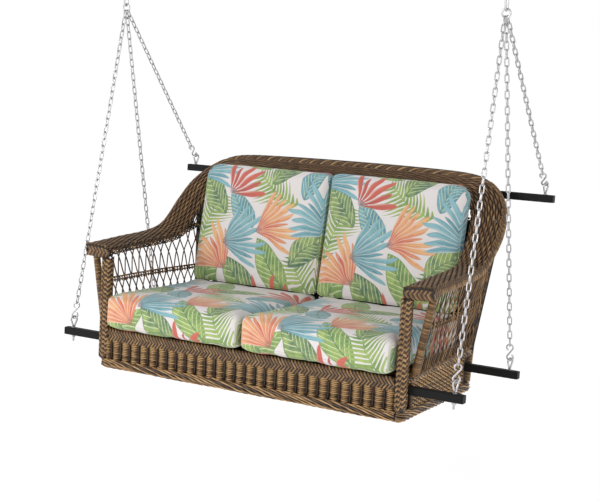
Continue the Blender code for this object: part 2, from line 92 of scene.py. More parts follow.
class Weave:
    """Gathers strands, each a closed tube with an oval section, and turns them into one mesh."""

    def __init__(self):
        self.points, self.tones, self.flows = [], [], []
        self.loops, self.sizes = [], []
        self.count = 0

    def strand(self, path, normal, width, depth, tone=0.5, sides=6, closed=False):
        path = np.asarray(path, float)
        steps = len(path)
        if closed:
            ahead = np.roll(path, -1, 0) - np.roll(path, 1, 0)
        else:
            ahead = np.gradient(path, axis=0)
        along = unit(ahead)
        side = unit(np.cross(along, np.broadcast_to(normal, path.shape)))
        out = np.cross(side, along)
        turn = 2 * np.pi * (np.arange(sides) + 0.5) / sides
        half_width = np.broadcast_to(width, steps)[:, None, None] / 2
        half_depth = np.broadcast_to(depth, steps)[:, None, None] / 2
        ring = path[:, None] + side[:, None] * np.cos(turn)[None, :, None] * half_width
        ring = ring + out[:, None] * np.sin(turn)[None, :, None] * half_depth
        self.points.append(ring.reshape(-1, 3))
        # Painted highlight and painted shade: each strand is lighter on its outward face and darker on its
        # inward face.
        shade = np.broadcast_to(tone, steps)[:, None] + 0.13 * np.sin(turn)[None, :]
        self.tones.append(shade.ravel())
        flow = np.empty((steps, sides, 3))
        flow[..., 0] = run_length(path)[:, None]
        flow[..., 1] = np.sin(turn)[None, :]
        flow[..., 2] = RANDOM.uniform(0, 50)
        self.flows.append(flow.reshape(-1, 3))
        self.join_rings(steps, sides, closed)

    def shade_slab(self, start, end, normal, width, depth, tone=0.0, step=0.1):
        """A straight square strand; its corners lie in its width, so it is a root of two narrower. Its tone
        is black unless given: painted shade set behind or inside a weave.
        """
        self.strand(line(start, end, step), normal, width, depth, tone, sides=4)

    def join_rings(self, steps, sides, closed):
        index = self.count + np.arange(steps * sides).reshape(steps, sides)
        first = index if closed else index[:-1]
        second = np.roll(index, -1, 0) if closed else index[1:]
        quads = np.stack([first, second, np.roll(second, -1, 1), np.roll(first, -1, 1)], axis=-1)
        self.loops.append(quads.ravel())
        self.sizes.append(np.full(quads.shape[0] * sides, 4))
        if not closed:
            self.loops.append(index[0])
            self.loops.append(index[-1][::-1])
            self.sizes.append(np.full(2, sides))
        self.count += steps * sides

    def mirrored(self):
        """The same strands on the other side of the seat's middle."""
        other = Weave()
        other.points = [part * (-1, 1, 1) for part in self.points]
        other.tones, other.flows, other.sizes = self.tones, self.flows, self.sizes
        other.count = self.count
        sizes = np.concatenate(self.sizes)
        loops = np.concatenate(self.loops)
        ends = np.cumsum(sizes)
        starts = np.repeat(ends - sizes, sizes)
        stops = np.repeat(ends, sizes)
        other.loops = [loops[starts + stops - 1 - np.arange(len(loops))]]
        return other

    def build(self, name, material=None, slot="wicker", nodes=(), matrix=SEAT):
        """One mesh of all the strands, riding on the swing and standing for the CAD nodes it names."""
        turn = np.array(matrix)
        points = np.concatenate(self.points) @ turn[:3, :3].T + turn[:3, 3]
        loops, sizes = np.concatenate(self.loops), np.concatenate(self.sizes)
        mesh = bpy.data.meshes.new(name)
        mesh.vertices.add(len(points))
        mesh.vertices.foreach_set("co", points.astype(np.float32).ravel())
        mesh.loops.add(len(loops))
        mesh.loops.foreach_set("vertex_index", loops.astype(np.int32))
        mesh.polygons.add(len(sizes))
        mesh.polygons.foreach_set("loop_start", (np.cumsum(sizes) - sizes).astype(np.int32))
        mesh.update(calc_edges=True)
        mesh.attributes.new("tone", "FLOAT", "POINT").data.foreach_set(
            "value", np.concatenate(self.tones).astype(np.float32))
        mesh.attributes.new("flow", "FLOAT_VECTOR", "POINT").data.foreach_set(
            "vector", np.concatenate(self.flows).astype(np.float32).ravel())
        mesh.shade_smooth()
        return add_piece(name, mesh, material or WICKER, nodes)


def add_piece(name, mesh, material, nodes=(), body="swing"):
    mesh.materials.append(material)
    piece = bpy.data.objects.new(name, mesh)
    bpy.context.scene.collection.objects.link(piece)
    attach(piece, body)
    if nodes:
        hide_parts(*nodes)
    return piece


def build_pair(weave, name, nodes=()):
    """The right-hand piece and its mirror image on the left."""
    for part, side in ((weave, "right"), (weave.mirrored(), "left")):
        part.build(f"{side}_{name}", nodes=[f"{side}_{node}" for node in nodes])


def line(start, end, step):
    """Evenly spaced points on a straight line."""
    start, end = np.array(start, float), np.array(end, float)
    count = max(int(round(np.linalg.norm(end - start) / step)), 1) + 1
    return start + (end - start) * np.linspace(0, 1, count)[:, None]


def run_length(path):
    """Each point's distance along its route."""
    return np.concatenate([[0.0], np.cumsum(np.linalg.norm(np.diff(path, axis=0), axis=1))])


def route_at(marks, scale, path):
    """Points of a route where its scale, such as the distance along it, has the given marks."""
    return np.stack([np.interp(marks, scale, path[:, axis]) for axis in range(3)], axis=-1)


def even(path, step):
    """The same route with evenly spaced points."""
    run = run_length(path)
    return route_at(np.linspace(0, run[-1], max(int(round(run[-1] / step)), 2) + 1), run, path)


# ---- kinds of weaving


def plain_weave(weave, surface, long, wide, pitch, rib_gap, lift, width, depth, tones,
                alternate=True, shade=0.18):
    """Rows of strands that pass over and under ribs. surface(u, v) gives points and normals, in metres.
    shade is painted shade: each strand is darker where it dips under a rib and lighter where it rides over
    one.
    """
    rows = max(int(round(wide / pitch)), 1)
    spans = max(int(round(long / rib_gap)), 1)
    u = np.linspace(0, long, spans * 6 + 1)
    for row in range(rows):
        points, normals = surface(u, np.full_like(u, (row + 0.5) * wide / rows))
        wave = flattened(np.cos(np.pi * (u / long * spans + (row % 2 if alternate else 0))))
        # Painted shade where the strand dips under a rib, painted light where it rides over one.
        tone = tones[0] + (tones[1] - tones[0]) * RANDOM.random() + shade * wave
        weave.strand(points + normals * (lift * wave)[:, None], normals, width, depth, tone)
    v = np.linspace(0, wide, max(int(wide / 0.02), 2) + 1)
    for k in range(spans + 1):
        points, normals = surface(np.full_like(v, k * long / spans), v)
        weave.strand(points, normals, 0.006, 0.004, 0.15)


def herringbone(weave, path, across, normal, half, pitch, slant, size, corner=0.006, tones=(0.25, 0.75)):
    """Two columns of slanting strands that meet in a ridge along the path and roll over its edges."""
    path = np.asarray(path, float)
    run = run_length(path)
    across, normal = np.array(across, float), np.array(normal, float)
    share = np.array([-0.22, -0.05, 0.15, 0.4, 0.65, 0.85, 1.0, 1.12])
    flat = half - corner
    for k in range(int((run[-1] - slant * 0.5) / pitch) + 1):
        for side in (-1, 1):
            spot = share * half
            bend = np.clip((spot - flat) / corner, 0, 1.4)
            reach = np.minimum(spot, flat) + corner * np.sin(bend)
            drop = corner * (1 - np.cos(bend))
            swell = size * 0.45 * np.sin(np.pi * np.clip((share + 0.22) / 1.2, 0, 1)) - size * 0.75
            at = np.clip((k + 0.25 * side) * pitch + slant * share, 0, run[-1])
            points = (route_at(at, run, path) + across * (side * reach)[:, None]
                      + normal * (swell - drop)[:, None])
            facing = normal[None] * np.cos(bend)[:, None] + across[None] * (side * np.sin(bend))[:, None]
            tone = tones[0] + (tones[1] - tones[0]) * (0.75 * (k % 2) + 0.25 * RANDOM.random())
            weave.strand(points, facing, size * 1.05, size * 0.8, tone)


def rope(weave, path, upward, high, deep, count, pitch, width, depth, wobble=0.0, wobble_pitch=0.05,
         closed=False, tones=(0.25, 0.75), hand=1):
    """Strands laid in a helix round an oval core. high and deep are the core's half sizes."""
    path = np.asarray(path, float)
    run = run_length(path)
    ahead = np.roll(path, -1, 0) - np.roll(path, 1, 0) if closed else np.gradient(path, axis=0)
    along = unit(ahead)
    side = unit(np.cross(along, np.broadcast_to(upward, path.shape)))
    top = np.cross(side, along)
    total = run[-1] + (np.linalg.norm(path[0] - path[-1]) if closed else 0.0)
    turns = round(total / pitch * count) / count if closed else total / pitch
    for k in range(count):
        angle = 2 * np.pi * (k / count + hand * turns * run / total)
        swell = wobble * np.cos(2 * np.pi * run / wobble_pitch + np.pi * k)
        c, s = np.cos(angle), np.sin(angle)
        c, s = np.sign(c) * np.abs(c) ** 0.85, np.sign(s) * np.abs(s) ** 0.85
        spot = side * (c * (deep + swell))[:, None] + top * (s * (high + swell))[:, None]
        facing = unit(side * (c * high)[:, None] + top * (s * deep)[:, None])
        # Painted light and shade: a strand is lighter where the wobble swells it outward and darker where it
        # sinks.
        tone = tones[0] + (tones[1] - tones[0]) * RANDOM.random() + 0.10 * swell / max(wobble, 1e-6)
        if closed and turns != round(turns):
            # The helix closes on another strand, so each strand stays a tube of its own.
            weave.strand(np.vstack([path + spot, (path + spot)[-1] + along[-1] * 0.004]),
                         np.vstack([facing, facing[-1]]), width, depth, np.append(tone, tone[-1]))
        else:
            weave.strand(path + spot, facing, width, depth, tone, closed=closed)


def coil(weave, path, radius, pitch, depth, tones=(0.5, 0.8)):
    """A pole wound with one flat strand."""
    route = even(path, pitch / 12)
    along = unit(np.gradient(route, axis=0))
    guide = np.array((0.0, 0.0, 1.0)) if abs(along[0][2]) < 0.8 else np.array((0.0, 1.0, 0.0))
    side = unit(np.cross(along, guide))
    top = np.cross(side, along)
    angle = 2 * np.pi * np.arange(len(route)) / 12
    out = side * np.cos(angle)[:, None] + top * np.sin(angle)[:, None]
    turn = np.arange(len(route)) // 12
    tone = tones[0] + (tones[1] - tones[0]) * RANDOM.random(turn[-1] + 1)[turn]
    weave.strand(route + out * (radius - depth / 2), out, pitch * 0.92, depth, tone, sides=5)
    # The pole under the winding is painted almost black, as painted shade in the gaps between the wraps.
    core = 2 * (radius - depth)
    weave.strand(route[::24], guide, core, core, 0.05, sides=8)


# ---- node graphs and materials


class Value:
    """A number or colour in a node graph. Arithmetic with it adds math nodes."""

    def __init__(self, graph, socket):
        self.graph, self.socket = graph, socket

    def math(self, operation, *others, clamp=False):
        return self.graph.math(operation, self, *others, clamp=clamp)

    def scaled(self, factor, plus, clamp=False):
        """value * factor + plus in one node."""
        return self.math("MULTIPLY_ADD", factor, plus, clamp=clamp)

    def __add__(self, other):
        return self.math("ADD", other)

    def __sub__(self, other):
        return self.math("SUBTRACT", other)

    def __rsub__(self, other):
        return self.graph.math("SUBTRACT", other, self)

    def __mul__(self, other):
        return self.math("MULTIPLY", other)

    def __truediv__(self, other):
        return self.math("DIVIDE", other)

    def __pow__(self, other):
        return self.math("POWER", other)

    def __abs__(self):
        return self.math("ABSOLUTE")


class Graph:
    """A node tree and short ways to add shader nodes to it."""

    def __init__(self, tree):
        self.tree = tree

    def put(self, socket, value):
        if isinstance(value, Value):
            self.tree.links.new(value.socket, socket)
        else:
            socket.default_value = value

    def add(self, kind, values=(), output=0, **settings):
        """One output of a new node whose inputs are given by name or index."""
        node = self.tree.nodes.new(f"ShaderNode{kind}")
        for key, value in settings.items():
            setattr(node, key, value)
        for key, value in dict(values).items():
            self.put(node.inputs[key], value)
        return Value(self, node.outputs[output])

    def math(self, operation, *values, clamp=False):
        return self.add("Math", enumerate(values), operation=operation, use_clamp=clamp)

    def mix(self, share, low, high, blend="MIX"):
        return self.add("Mix", {0: share, 6: low, 7: high}, 2,
                        data_type="RGBA", blend_type=blend, clamp_factor=True)

    def noise(self, vector, scale, detail=2.0, rough=0.5):
        return self.add("TexNoise", {"Vector": vector, "Scale": scale, "Detail": detail, "Roughness": rough})

    def chance(self, index):
        """A random number for each whole number."""
        return self.add("TexWhiteNoise", {"W": index}, "Value", noise_dimensions="1D")

    def ramp(self, share, stops):
        made = self.add("ValToRGB", {0: share})
        elements = made.socket.node.color_ramp.elements
        while len(elements) < len(stops):
            elements.new(0.5)
        for element, (place, colour) in zip(elements, stops):
            element.position = place
            element.color = (*colour, 1.0)
        return made

    def attribute(self, name, output):
        return self.add("Attribute", (), output, attribute_name=name)

    def stretched(self, vector, factors):
        return self.add("VectorMath", {0: vector, 1: factors}, operation="MULTIPLY")

    def split(self, vector):
        node = self.add("SeparateXYZ", {0: vector}).socket.node
        return [Value(self, output) for output in node.outputs]


def new_material(name, **sockets):
    """A Principled material and its graph, with plain values on the shader's own sockets."""
    made = bpy.data.materials.new(name)
    made.use_nodes = True
    shader = made.node_tree.nodes["Principled BSDF"]
    for key, value in sockets.items():
        shader.inputs[key.replace("_", " ")].default_value = value
    return made, Graph(made.node_tree), shader


def add_bump(graph, shader, height, strength, distance):
    bump = graph.add("Bump", {"Height": height, "Strength": strength, "Distance": distance})
    graph.put(shader.inputs["Normal"], bump)


def wicker_material():
    made, graph, shader = new_material("resin_wicker", Specular_IOR_Level=0.5)
    flow = graph.attribute("flow", "Vector")
    tone = graph.attribute("tone", "Fac")
    patches = graph.noise(graph.stretched(flow, (34.0, 0.6, 1.0)), 1.0)
    streaks = graph.noise(graph.stretched(flow, (18.0, 5.0, 1.0)), 1.6, 3.0, 0.7)
    tone = tone + patches.scaled(0.55, -0.275) + streaks.scaled(0.5, -0.25)
    stops = [(0.0, (0.006, 0.004, 0.003)), (0.28, (0.020, 0.011, 0.006)), (0.50, (0.068, 0.034, 0.015)),
             (0.72, (0.190, 0.100, 0.038)), (1.0, (0.480, 0.290, 0.120))]
    graph.put(shader.inputs["Base Color"], graph.ramp(tone, stops))
    graph.put(shader.inputs["Roughness"], streaks.scaled(0.25, 0.32))
    add_bump(graph, shader, streaks, 0.35, 0.0006)
    return made


def metal_material(name, colour, roughness, metallic, scratch=0.1, shine=0.5):
    """Metal, paint or plastic with broad darker patches and fine scratches."""
    made, graph, shader = new_material(name, Metallic=metallic, Specular_IOR_Level=shine)
    place = graph.add("TexCoord", (), "Object")
    broad = graph.noise(place, 90.0, 3.0)
    fine = graph.noise(place, 900.0, 3.0, 0.6)
    darker = [c * 0.55 for c in colour]
    shade = graph.mix(broad.math("MULTIPLY", scratch * 4, clamp=True), (*colour, 1.0), (*darker, 1.0))
    graph.put(shader.inputs["Base Color"], shade)
    graph.put(shader.inputs["Roughness"], fine.scaled(scratch * 2, roughness))
    add_bump(graph, shader, fine, 0.15, 0.0004)
    return made


WICKER = wicker_material()
ZINC = metal_material("zinc_plate", (0.62, 0.61, 0.62), 0.20, 1.0, 0.14)
BLACK = metal_material("black_paint", (0.008, 0.0078, 0.0078), 0.50, 0.0, shine=0.18)
CAP_PLASTIC = metal_material("black_plastic", (0.014, 0.014, 0.014), 0.50, 0.0, shine=0.25)

# ---- the woven base

RIM = 0.036  # height of the twisted rim
STAKE_GAP = 0.0335  # between the stakes of the rear and side aprons
PAINTED_SHADE_TONE = 0.0  # black tone of the linings and cores that close a weave from behind and inside: painted shade
UP, RIGHT, FORWARD, REARWARD = (0, 0, 1), (1, 0, 0), (0, -1, 0), (0, 1, 0)


def flat_surface(origin, across, upward, normal):
    origin, across, upward, normal = (np.array(v, float) for v in (origin, across, upward, normal))

    def surface(u, v):
        return origin + across * u[:, None] + upward * v[:, None], np.broadcast_to(normal, (len(u), 3))
    return surface


def rounded_rectangle(half_x, low_y, high_y, z, corner):
    """A closed loop of points, anticlockwise seen from above."""
    points = []
    for x, y, start in ((half_x, low_y, -90), (half_x, high_y, 0),
                        (-half_x, high_y, 90), (-half_x, low_y, 180)):
        middle = (x - math.copysign(corner, x), y + (corner if y == low_y else -corner))
        for k in range(7):
            turn = math.radians(start + 15 * k)
            points.append((middle[0] + corner * math.cos(turn), middle[1] + corner * math.sin(turn), z))
    return np.array(points + points[:1])


def make_front_apron():
    """Close columns of weave under a herringbone rail."""
    top = seat_box("front_apron")[1][2]
    inner = seat_box("right_front_post")[0][0]
    weave = Weave()
    panel = flat_surface((-inner, 0.0125, RIM - 0.004), RIGHT, UP, FORWARD)
    # shade=0.26 paints the columns darker where the strands pass behind a stake.
    plain_weave(weave, panel, long=2 * inner, wide=0.076, pitch=0.0066, rib_gap=0.0206, lift=0.0046,
                width=0.0045, depth=0.0044, tones=(0.44, 0.80), alternate=False, shade=0.26)
    # A black sheet behind the columns: painted shade in the gaps of the weave.
    weave.shade_slab((-inner, 0.023, 0.066), (inner, 0.023, 0.066), FORWARD, 0.092, 0.004)
    rail = line((inner, 0.0060, 0.1245), (-inner, 0.0060, 0.1245), 0.02)
    herringbone(weave, rail, UP, FORWARD, half=0.0235, pitch=0.0066, slant=0.019, size=0.0054, corner=0.009,
                tones=(0.02, 0.76))
    lid = line((inner, 0.0200, top - 0.001), (-inner, 0.0200, top - 0.001), 0.02)
    herringbone(weave, lid, REARWARD, UP, half=0.013, pitch=0.0068, slant=0.012, size=0.0060, corner=0.005,
                tones=(0.25, 0.6))
    # A black block under the rail: painted shade inside it.
    weave.shade_slab((-inner, 0.016, 0.122), (inner, 0.016, 0.122), FORWARD, 0.030, 0.024)
    weave.build("front_apron_weave", nodes=["front_apron"])


def make_rim():
    """The twisted rim that runs round the foot of all four aprons."""
    inset = 0.0165
    half_x, high_y = seat_box("front_apron")[1][0] - inset, seat_box("rear_apron")[1][1] - inset
    outline = rounded_rectangle(half_x, inset, high_y, RIM / 2, corner=0.012)
    weave = Weave()
    rope(weave, even(outline, 0.0075)[:-1], UP, high=0.0150, deep=0.0135, count=12, pitch=0.40, width=0.0058,
         depth=0.0054, wobble=0.0014, wobble_pitch=0.055, closed=True, tones=(0.30, 0.95), hand=-1)
    # A black core inside the twist: painted shade in the gaps between its strands.
    weave.strand(even(outline, 0.03)[:-1], UP, 0.024, 0.027, PAINTED_SHADE_TONE, sides=8, closed=True)
    weave.build("rim_twist")


def make_rear_apron():
    top, half, rear, foot = seat_box("rear_apron")[1][2], 0.5935, 0.622, 0.020
    weave = Weave()
    panel = flat_surface((half, rear, RIM - 0.004), (-1, 0, 0), UP, REARWARD)
    plain_weave(weave, panel, long=2 * half, wide=top - RIM - 0.008, pitch=0.0074, rib_gap=STAKE_GAP,
                lift=0.0030, width=0.0072, depth=0.0044, tones=(0.2, 0.6))
    # A black sheet behind the panel: painted shade in the gaps of the weave.
    middle, high = (foot + top + 0.006) / 2, top + 0.006 - foot
    weave.shade_slab((-half, 0.616, middle), (half, 0.616, middle), REARWARD, high * math.sqrt(2), 0.002)
    hem = line((-half, rear, top - 0.006), (half, rear, top - 0.006), 0.006)
    rope(weave, hem, UP, high=0.0065, deep=0.0055, count=4, pitch=0.09, width=0.0070, depth=0.0048)
    weave.build("rear_apron_weave", nodes=["rear_apron"])


def make_side_aprons():
    weave = Weave()
    panel = flat_surface((0.6105, 0.095, RIM - 0.003), REARWARD, UP, RIGHT)
    plain_weave(weave, panel, long=0.461, wide=0.100, pitch=0.0068, rib_gap=STAKE_GAP / 2, lift=0.0026,
                width=0.0056, depth=0.0042, tones=(0.56, 0.98))
    for y in (0.093, 0.558):
        coil(weave, line((0.6100, y, RIM - 0.004), (0.6100, y, 0.136), 0.01), radius=0.0065, pitch=0.0055,
             depth=0.0022, tones=(0.35, 0.6))
    # A black sheet behind the panel: painted shade in the gaps of the weave.
    weave.shade_slab((0.6045, 0.050, 0.078), (0.6045, 0.604, 0.078), RIGHT, 0.110 * math.sqrt(2), 0.002, step=0.05)
    braid = line((0.6125, 0.0350, 0.1385), (0.6130, 0.6000, 0.1510), 0.006)
    rope(weave, braid, UP, high=0.0120, deep=0.0105, count=7, pitch=0.155, width=0.0078, depth=0.0058,
         wobble=0.0012, wobble_pitch=0.05, tones=(0.40, 0.85), hand=-1)
    # A black core inside the braid: painted shade in the gaps between its strands.
    weave.strand(line(braid[0], braid[-1], 0.2), UP, 0.020, 0.022, PAINTED_SHADE_TONE, sides=8)
    build_pair(weave, "side_apron_weave", ["side_apron"])


def make_posts():
    """Braided front posts, wound outer poles beside them and wound posts at the rear corners."""
    low, high = seat_box("right_front_post")
    middle = (low + high) / 2
    half = (high[0] - low[0]) / 2
    weave = Weave()
    post = line((middle[0], middle[1], low[2]), (middle[0], middle[1], high[2] + 0.004), 0.01)
    for across, normal in ((RIGHT, FORWARD), ((-1, 0, 0), REARWARD),
                           (REARWARD, RIGHT), (FORWARD, (-1, 0, 0))):
        face = post + np.array(normal) * (half + 0.0005)
        herringbone(weave, face, across, normal, half + 0.0015, pitch=0.0086, slant=0.017, size=0.0076,
                    corner=0.008, tones=(0.20, 0.84))
    # A black core inside the braid: painted shade in the gaps between its strands.
    weave.shade_slab(post[0], post[-1], REARWARD, 0.031, 0.031)
    build_pair(weave, "front_post_braid", ["front_post"])
    weave = Weave()
    low, high = seat_box("right_outer_pole")
    pole = line((low[0] + 0.0135, 0.0465, low[2] + 0.001), (high[0] - 0.0125, 0.0465, high[2] + 0.012), 0.01)
    coil(weave, pole, radius=0.0138, pitch=0.0056, depth=0.0030)
    build_pair(weave, "outer_pole_winding", ["outer_pole"])
    weave = Weave()
    post = line((0.6070, 0.6225, RIM), (0.6070, 0.7042, 0.688), 0.01)
    coil(weave, post, radius=0.0130, pitch=0.0058, depth=0.0030, tones=(0.50, 0.80))
    build_pair(weave, "rear_post_winding", ["rear_post"])


def make_deck():
    low, high = seat_box("seat_deck")
    front, rear, z = low[1] + 0.004, high[1] - 0.002, (low[2] + high[2]) / 2
    weave = Weave()
    panel = flat_surface((low[0], front, z), RIGHT, REARWARD, UP)
    plain_weave(weave, panel, long=high[0] - low[0], wide=high[1] - low[1] - 0.006, pitch=0.0100,
                rib_gap=0.0400, lift=0.0030, width=0.0096, depth=0.0042, tones=(0.15, 0.5))
    # Nearly black strips under the deck weave: painted shade in its gaps.
    for x in np.arange(low[0] + 0.012, high[0] - 0.010, 0.0195):
        weave.shade_slab((x, front, z), (x, rear, z), UP, 0.0300, 0.0016, 0.02, step=0.05)
    weave.build("seat_deck_weave", nodes=["seat_deck"])


# ---- lattice sides


WALL_FRONT = 0.050  # place along the side wall where the lattice starts
WALL_REAR = 0.628  # place where its rear edge stands


def side_wall(place, share):
    """A point of the right lattice wall: place runs along it, share from its foot to the arm's pole."""
    place, share = np.asarray(place, float), np.asarray(share, float)
    marks = np.array([0.063, 0.200, 0.330, 0.440, 0.530, 0.610])
    head_x = np.interp(place, marks, [0.6855, 0.6885, 0.6885, 0.6830, 0.6700, 0.6560])
    head_z = np.interp(place, marks, [0.4250, 0.4360, 0.4430, 0.4620, 0.5080, 0.5650])
    part = (place - 0.063) / 0.547
    foot_x, foot_z = 0.6325 - 0.0205 * part, 0.1480 + 0.0170 * part
    y = place + 0.052 * np.clip(part, 0, 2) ** 2 * share
    return np.stack([foot_x + (head_x - foot_x) * share, y, foot_z + (head_z - foot_z) * share], axis=-1)


def wall_at_height(place, z):
    """Points of the wall by place and height, and what share of the wall's height they stand at."""
    foot, head = side_wall(place, 0.0 * place), side_wall(place, 0.0 * place + 1.0)
    share = (z - foot[:, 2]) / (head[:, 2] - foot[:, 2])
    return side_wall(place, share), share


def make_lattice():
    """Strands that lean fore and aft and pass over each other, with a twined band at mid height."""
    weave = Weave()
    gap, rise, foot = 0.0415, 0.060, 0.148
    heights = np.arange(foot, 0.60, 0.006)
    for sign in (-1, 1):
        for k in range(-7, 23):
            place = WALL_FRONT + gap * k + sign * (gap / 2 / rise) * (heights - foot)
            points, share = wall_at_height(place, heights)
            keep = (place > WALL_FRONT) & (place < WALL_REAR) & (share > -0.02) & (share < 1.02)
            if keep.sum() < 5:
                continue
            points[:, 0] += sign * 0.0024 * np.cos(np.pi * (heights - foot) / rise)
            weave.strand(points[keep], RIGHT, 0.0058, 0.0048, 0.36 + 0.42 * RANDOM.random())
    place = np.linspace(WALL_FRONT, WALL_REAR, 100)
    for front_z, rear_z in ((0.3080, 0.3220), (0.3190, 0.3330)):
        path = wall_at_height(place, np.interp(place, (WALL_FRONT, WALL_REAR), (front_z, rear_z)))[0]
        rope(weave, path - (0.0035, 0, 0), UP, high=0.0036, deep=0.0060, count=2, pitch=0.030, width=0.0058,
             depth=0.0048, tones=(0.35, 0.90))
    rope(weave, side_wall(place, np.full(100, 0.018)), UP, high=0.0050, deep=0.0056, count=3, pitch=0.040,
         width=0.0072, depth=0.0050, tones=(0.35, 0.80))
    rear_edge = wall_at_height(np.full(45, WALL_REAR), np.linspace(0.160, 0.585, 45))[0]
    coil(weave, rear_edge, radius=0.0062, pitch=0.0056, depth=0.0022, tones=(0.40, 0.75))
    stake = line((0.6020, 0.0390, 0.150), (0.6020, 0.0390, 0.415), 0.01)
    coil(weave, stake, radius=0.0050, pitch=0.0060, depth=0.0020, tones=(0.3, 0.6))
    build_pair(weave, "side_lattice", ["side_panel"])


# ---- the rolled cap over arms and back

# Outer and inner top edges of the cap, from the right arm's front to the middle of the back, as in the CAD.
CAP_EDGES = [
    ((0.703, 0.000, 0.458), (0.597, 0.000, 0.450)),
    ((0.708, 0.200, 0.473), (0.597, 0.200, 0.463)),
    ((0.710, 0.380, 0.486), (0.597, 0.380, 0.474)),
    ((0.707, 0.490, 0.517), (0.594, 0.475, 0.493)),
    ((0.704, 0.591, 0.607), (0.586, 0.572, 0.570)),
    ((0.690, 0.665, 0.680), (0.574, 0.628, 0.645)),
    ((0.650, 0.723, 0.737), (0.545, 0.666, 0.692)),
    ((0.586, 0.755, 0.781), (0.498, 0.692, 0.722)),
    ((0.500, 0.769, 0.803), (0.430, 0.705, 0.736)),
    ((0.300, 0.772, 0.810), (0.280, 0.712, 0.743)),
    ((0.000, 0.772, 0.812), (0.000, 0.713, 0.745)),
]
LAST = len(CAP_EDGES) - 1
CORNER_STATION = 6.6  # where the wing turns into the back


def stations(values, t):
    """Catmull-Rom points at stations t of the whole cap, whose second half mirrors the first."""
    t = np.asarray(t, float)
    half = np.where(t > LAST, 2 * LAST - t, t)
    points = np.array(values, float)
    points = np.vstack([2 * points[0] - points[1], points, points[-2] * (-1, 1, 1)])
    i = np.clip(half.astype(int), 0, LAST - 1)
    f = (half - i)[:, None]
    p0, p1, p2, p3 = (points[i + k] for k in range(4))
    made = 0.5 * (2 * p1 + (p2 - p0) * f + (2 * p0 - 5 * p1 + 4 * p2 - p3) * f**2
                  + (3 * p1 - p0 - 3 * p2 + p3) * f**3)
    return made * np.where(t > LAST, -1, 1)[:, None] ** np.array([1, 0, 0])


class Cap:
    """The cap's edges by distance along it."""

    def __init__(self):
        self.t = np.linspace(0, 2 * LAST, 1201)
        self.outer = stations([pair[0] for pair in CAP_EDGES], self.t)
        self.inner = stations([pair[1] for pair in CAP_EDGES], self.t)
        self.run = run_length((self.outer + self.inner) / 2)
        self.length = self.run[-1]
        self.inward = unit(self.inner - self.outer)
        self.along = unit(np.gradient(self.outer + self.inner, axis=0))
        self.up = unit(np.cross(self.along, self.inward))

    def at(self, values, s):
        return route_at(s, self.run, values)

    def station(self, s):
        t = np.interp(s, self.run, self.t)
        return np.where(t > LAST, 2 * LAST - t, t)

    def distance(self, t):
        return float(np.interp(t, self.t, self.run))

    def band(self, s, share, sink=0.0):
        """Points at a share of the way from the outer to the inner edge, and their normals."""
        up = unit(self.at(self.up, s))
        outer, inner = self.at(self.outer, s), self.at(self.inner, s)
        share = np.asarray(share)[:, None]
        return outer + (inner - outer) * share + up * (0.004 * np.sin(np.pi * share) - sink), up

    def roll(self, s):
        """Radius of the rolled border: thin along the arms and wings, thick along the back."""
        return 0.0075 + 0.0125 * smooth((self.station(s) - CORNER_STATION + 0.5) / 1.6)


CAP = Cap()


def make_cap_weave():
    """Strands along the cap over ribs, packed together on the back where the roll takes up the width."""
    weave, shade_layer = Weave(), Weave()
    rows, spans = 12, int(CAP.length / 0.0245)
    s = np.linspace(0, CAP.length, spans * 5 + 1)
    wave = flattened(np.cos(np.pi * s / CAP.length * spans))
    wide = np.linalg.norm(CAP.at(CAP.outer, s) - CAP.at(CAP.inner, s), axis=1)
    clear = np.clip(2 * CAP.roll(s) / wide, 0, 1) * 0.86
    fine = smooth((CAP.station(s) - CORNER_STATION) / 1.2)
    for row in range(rows):
        part = (row + 0.5) / rows
        share = 0.05 + 0.93 * part
        share = share + (clear + (1 - clear) * part - share) * fine
        points, up = CAP.band(s, share, 0.0022)
        phase = wave * (1 if row % 2 else -1)
        # Painted light and shade: a strand is lighter where it rides over a rib and darker where it dips
        # under one.
        tone = 0.42 + 0.16 * RANDOM.random() + 0.14 * phase * (1 - 0.5 * fine)
        weave.strand(points + up * (phase * 0.0019 * (1 - 0.4 * fine))[:, None], up,
                     (0.0074 - 0.0026 * fine) * wide / 0.112, 0.0046, tone)
    # Nearly black strands under the cap weave: painted shade in its gaps.
    for row in range(rows + 1):
        points, up = CAP.band(s, np.full_like(s, 0.04 + 0.92 * row / rows), 0.0085)
        shade_layer.strand(points[::2], up[::2], 0.0096, 0.0040, 0.10 + 0.18 * RANDOM.random())
    for k in range(spans + 1):
        points, up = CAP.band(np.full(7, k * CAP.length / spans), np.linspace(0.03, 0.97, 7), 0.0050)
        weave.strand(points, up, 0.0060, 0.0036, 0.15)
    weave.build("cap_weave", nodes=["left_arm_cap", "right_arm_cap", "top_roll"])
    shade_layer.build("cap_shade_layer_weave")


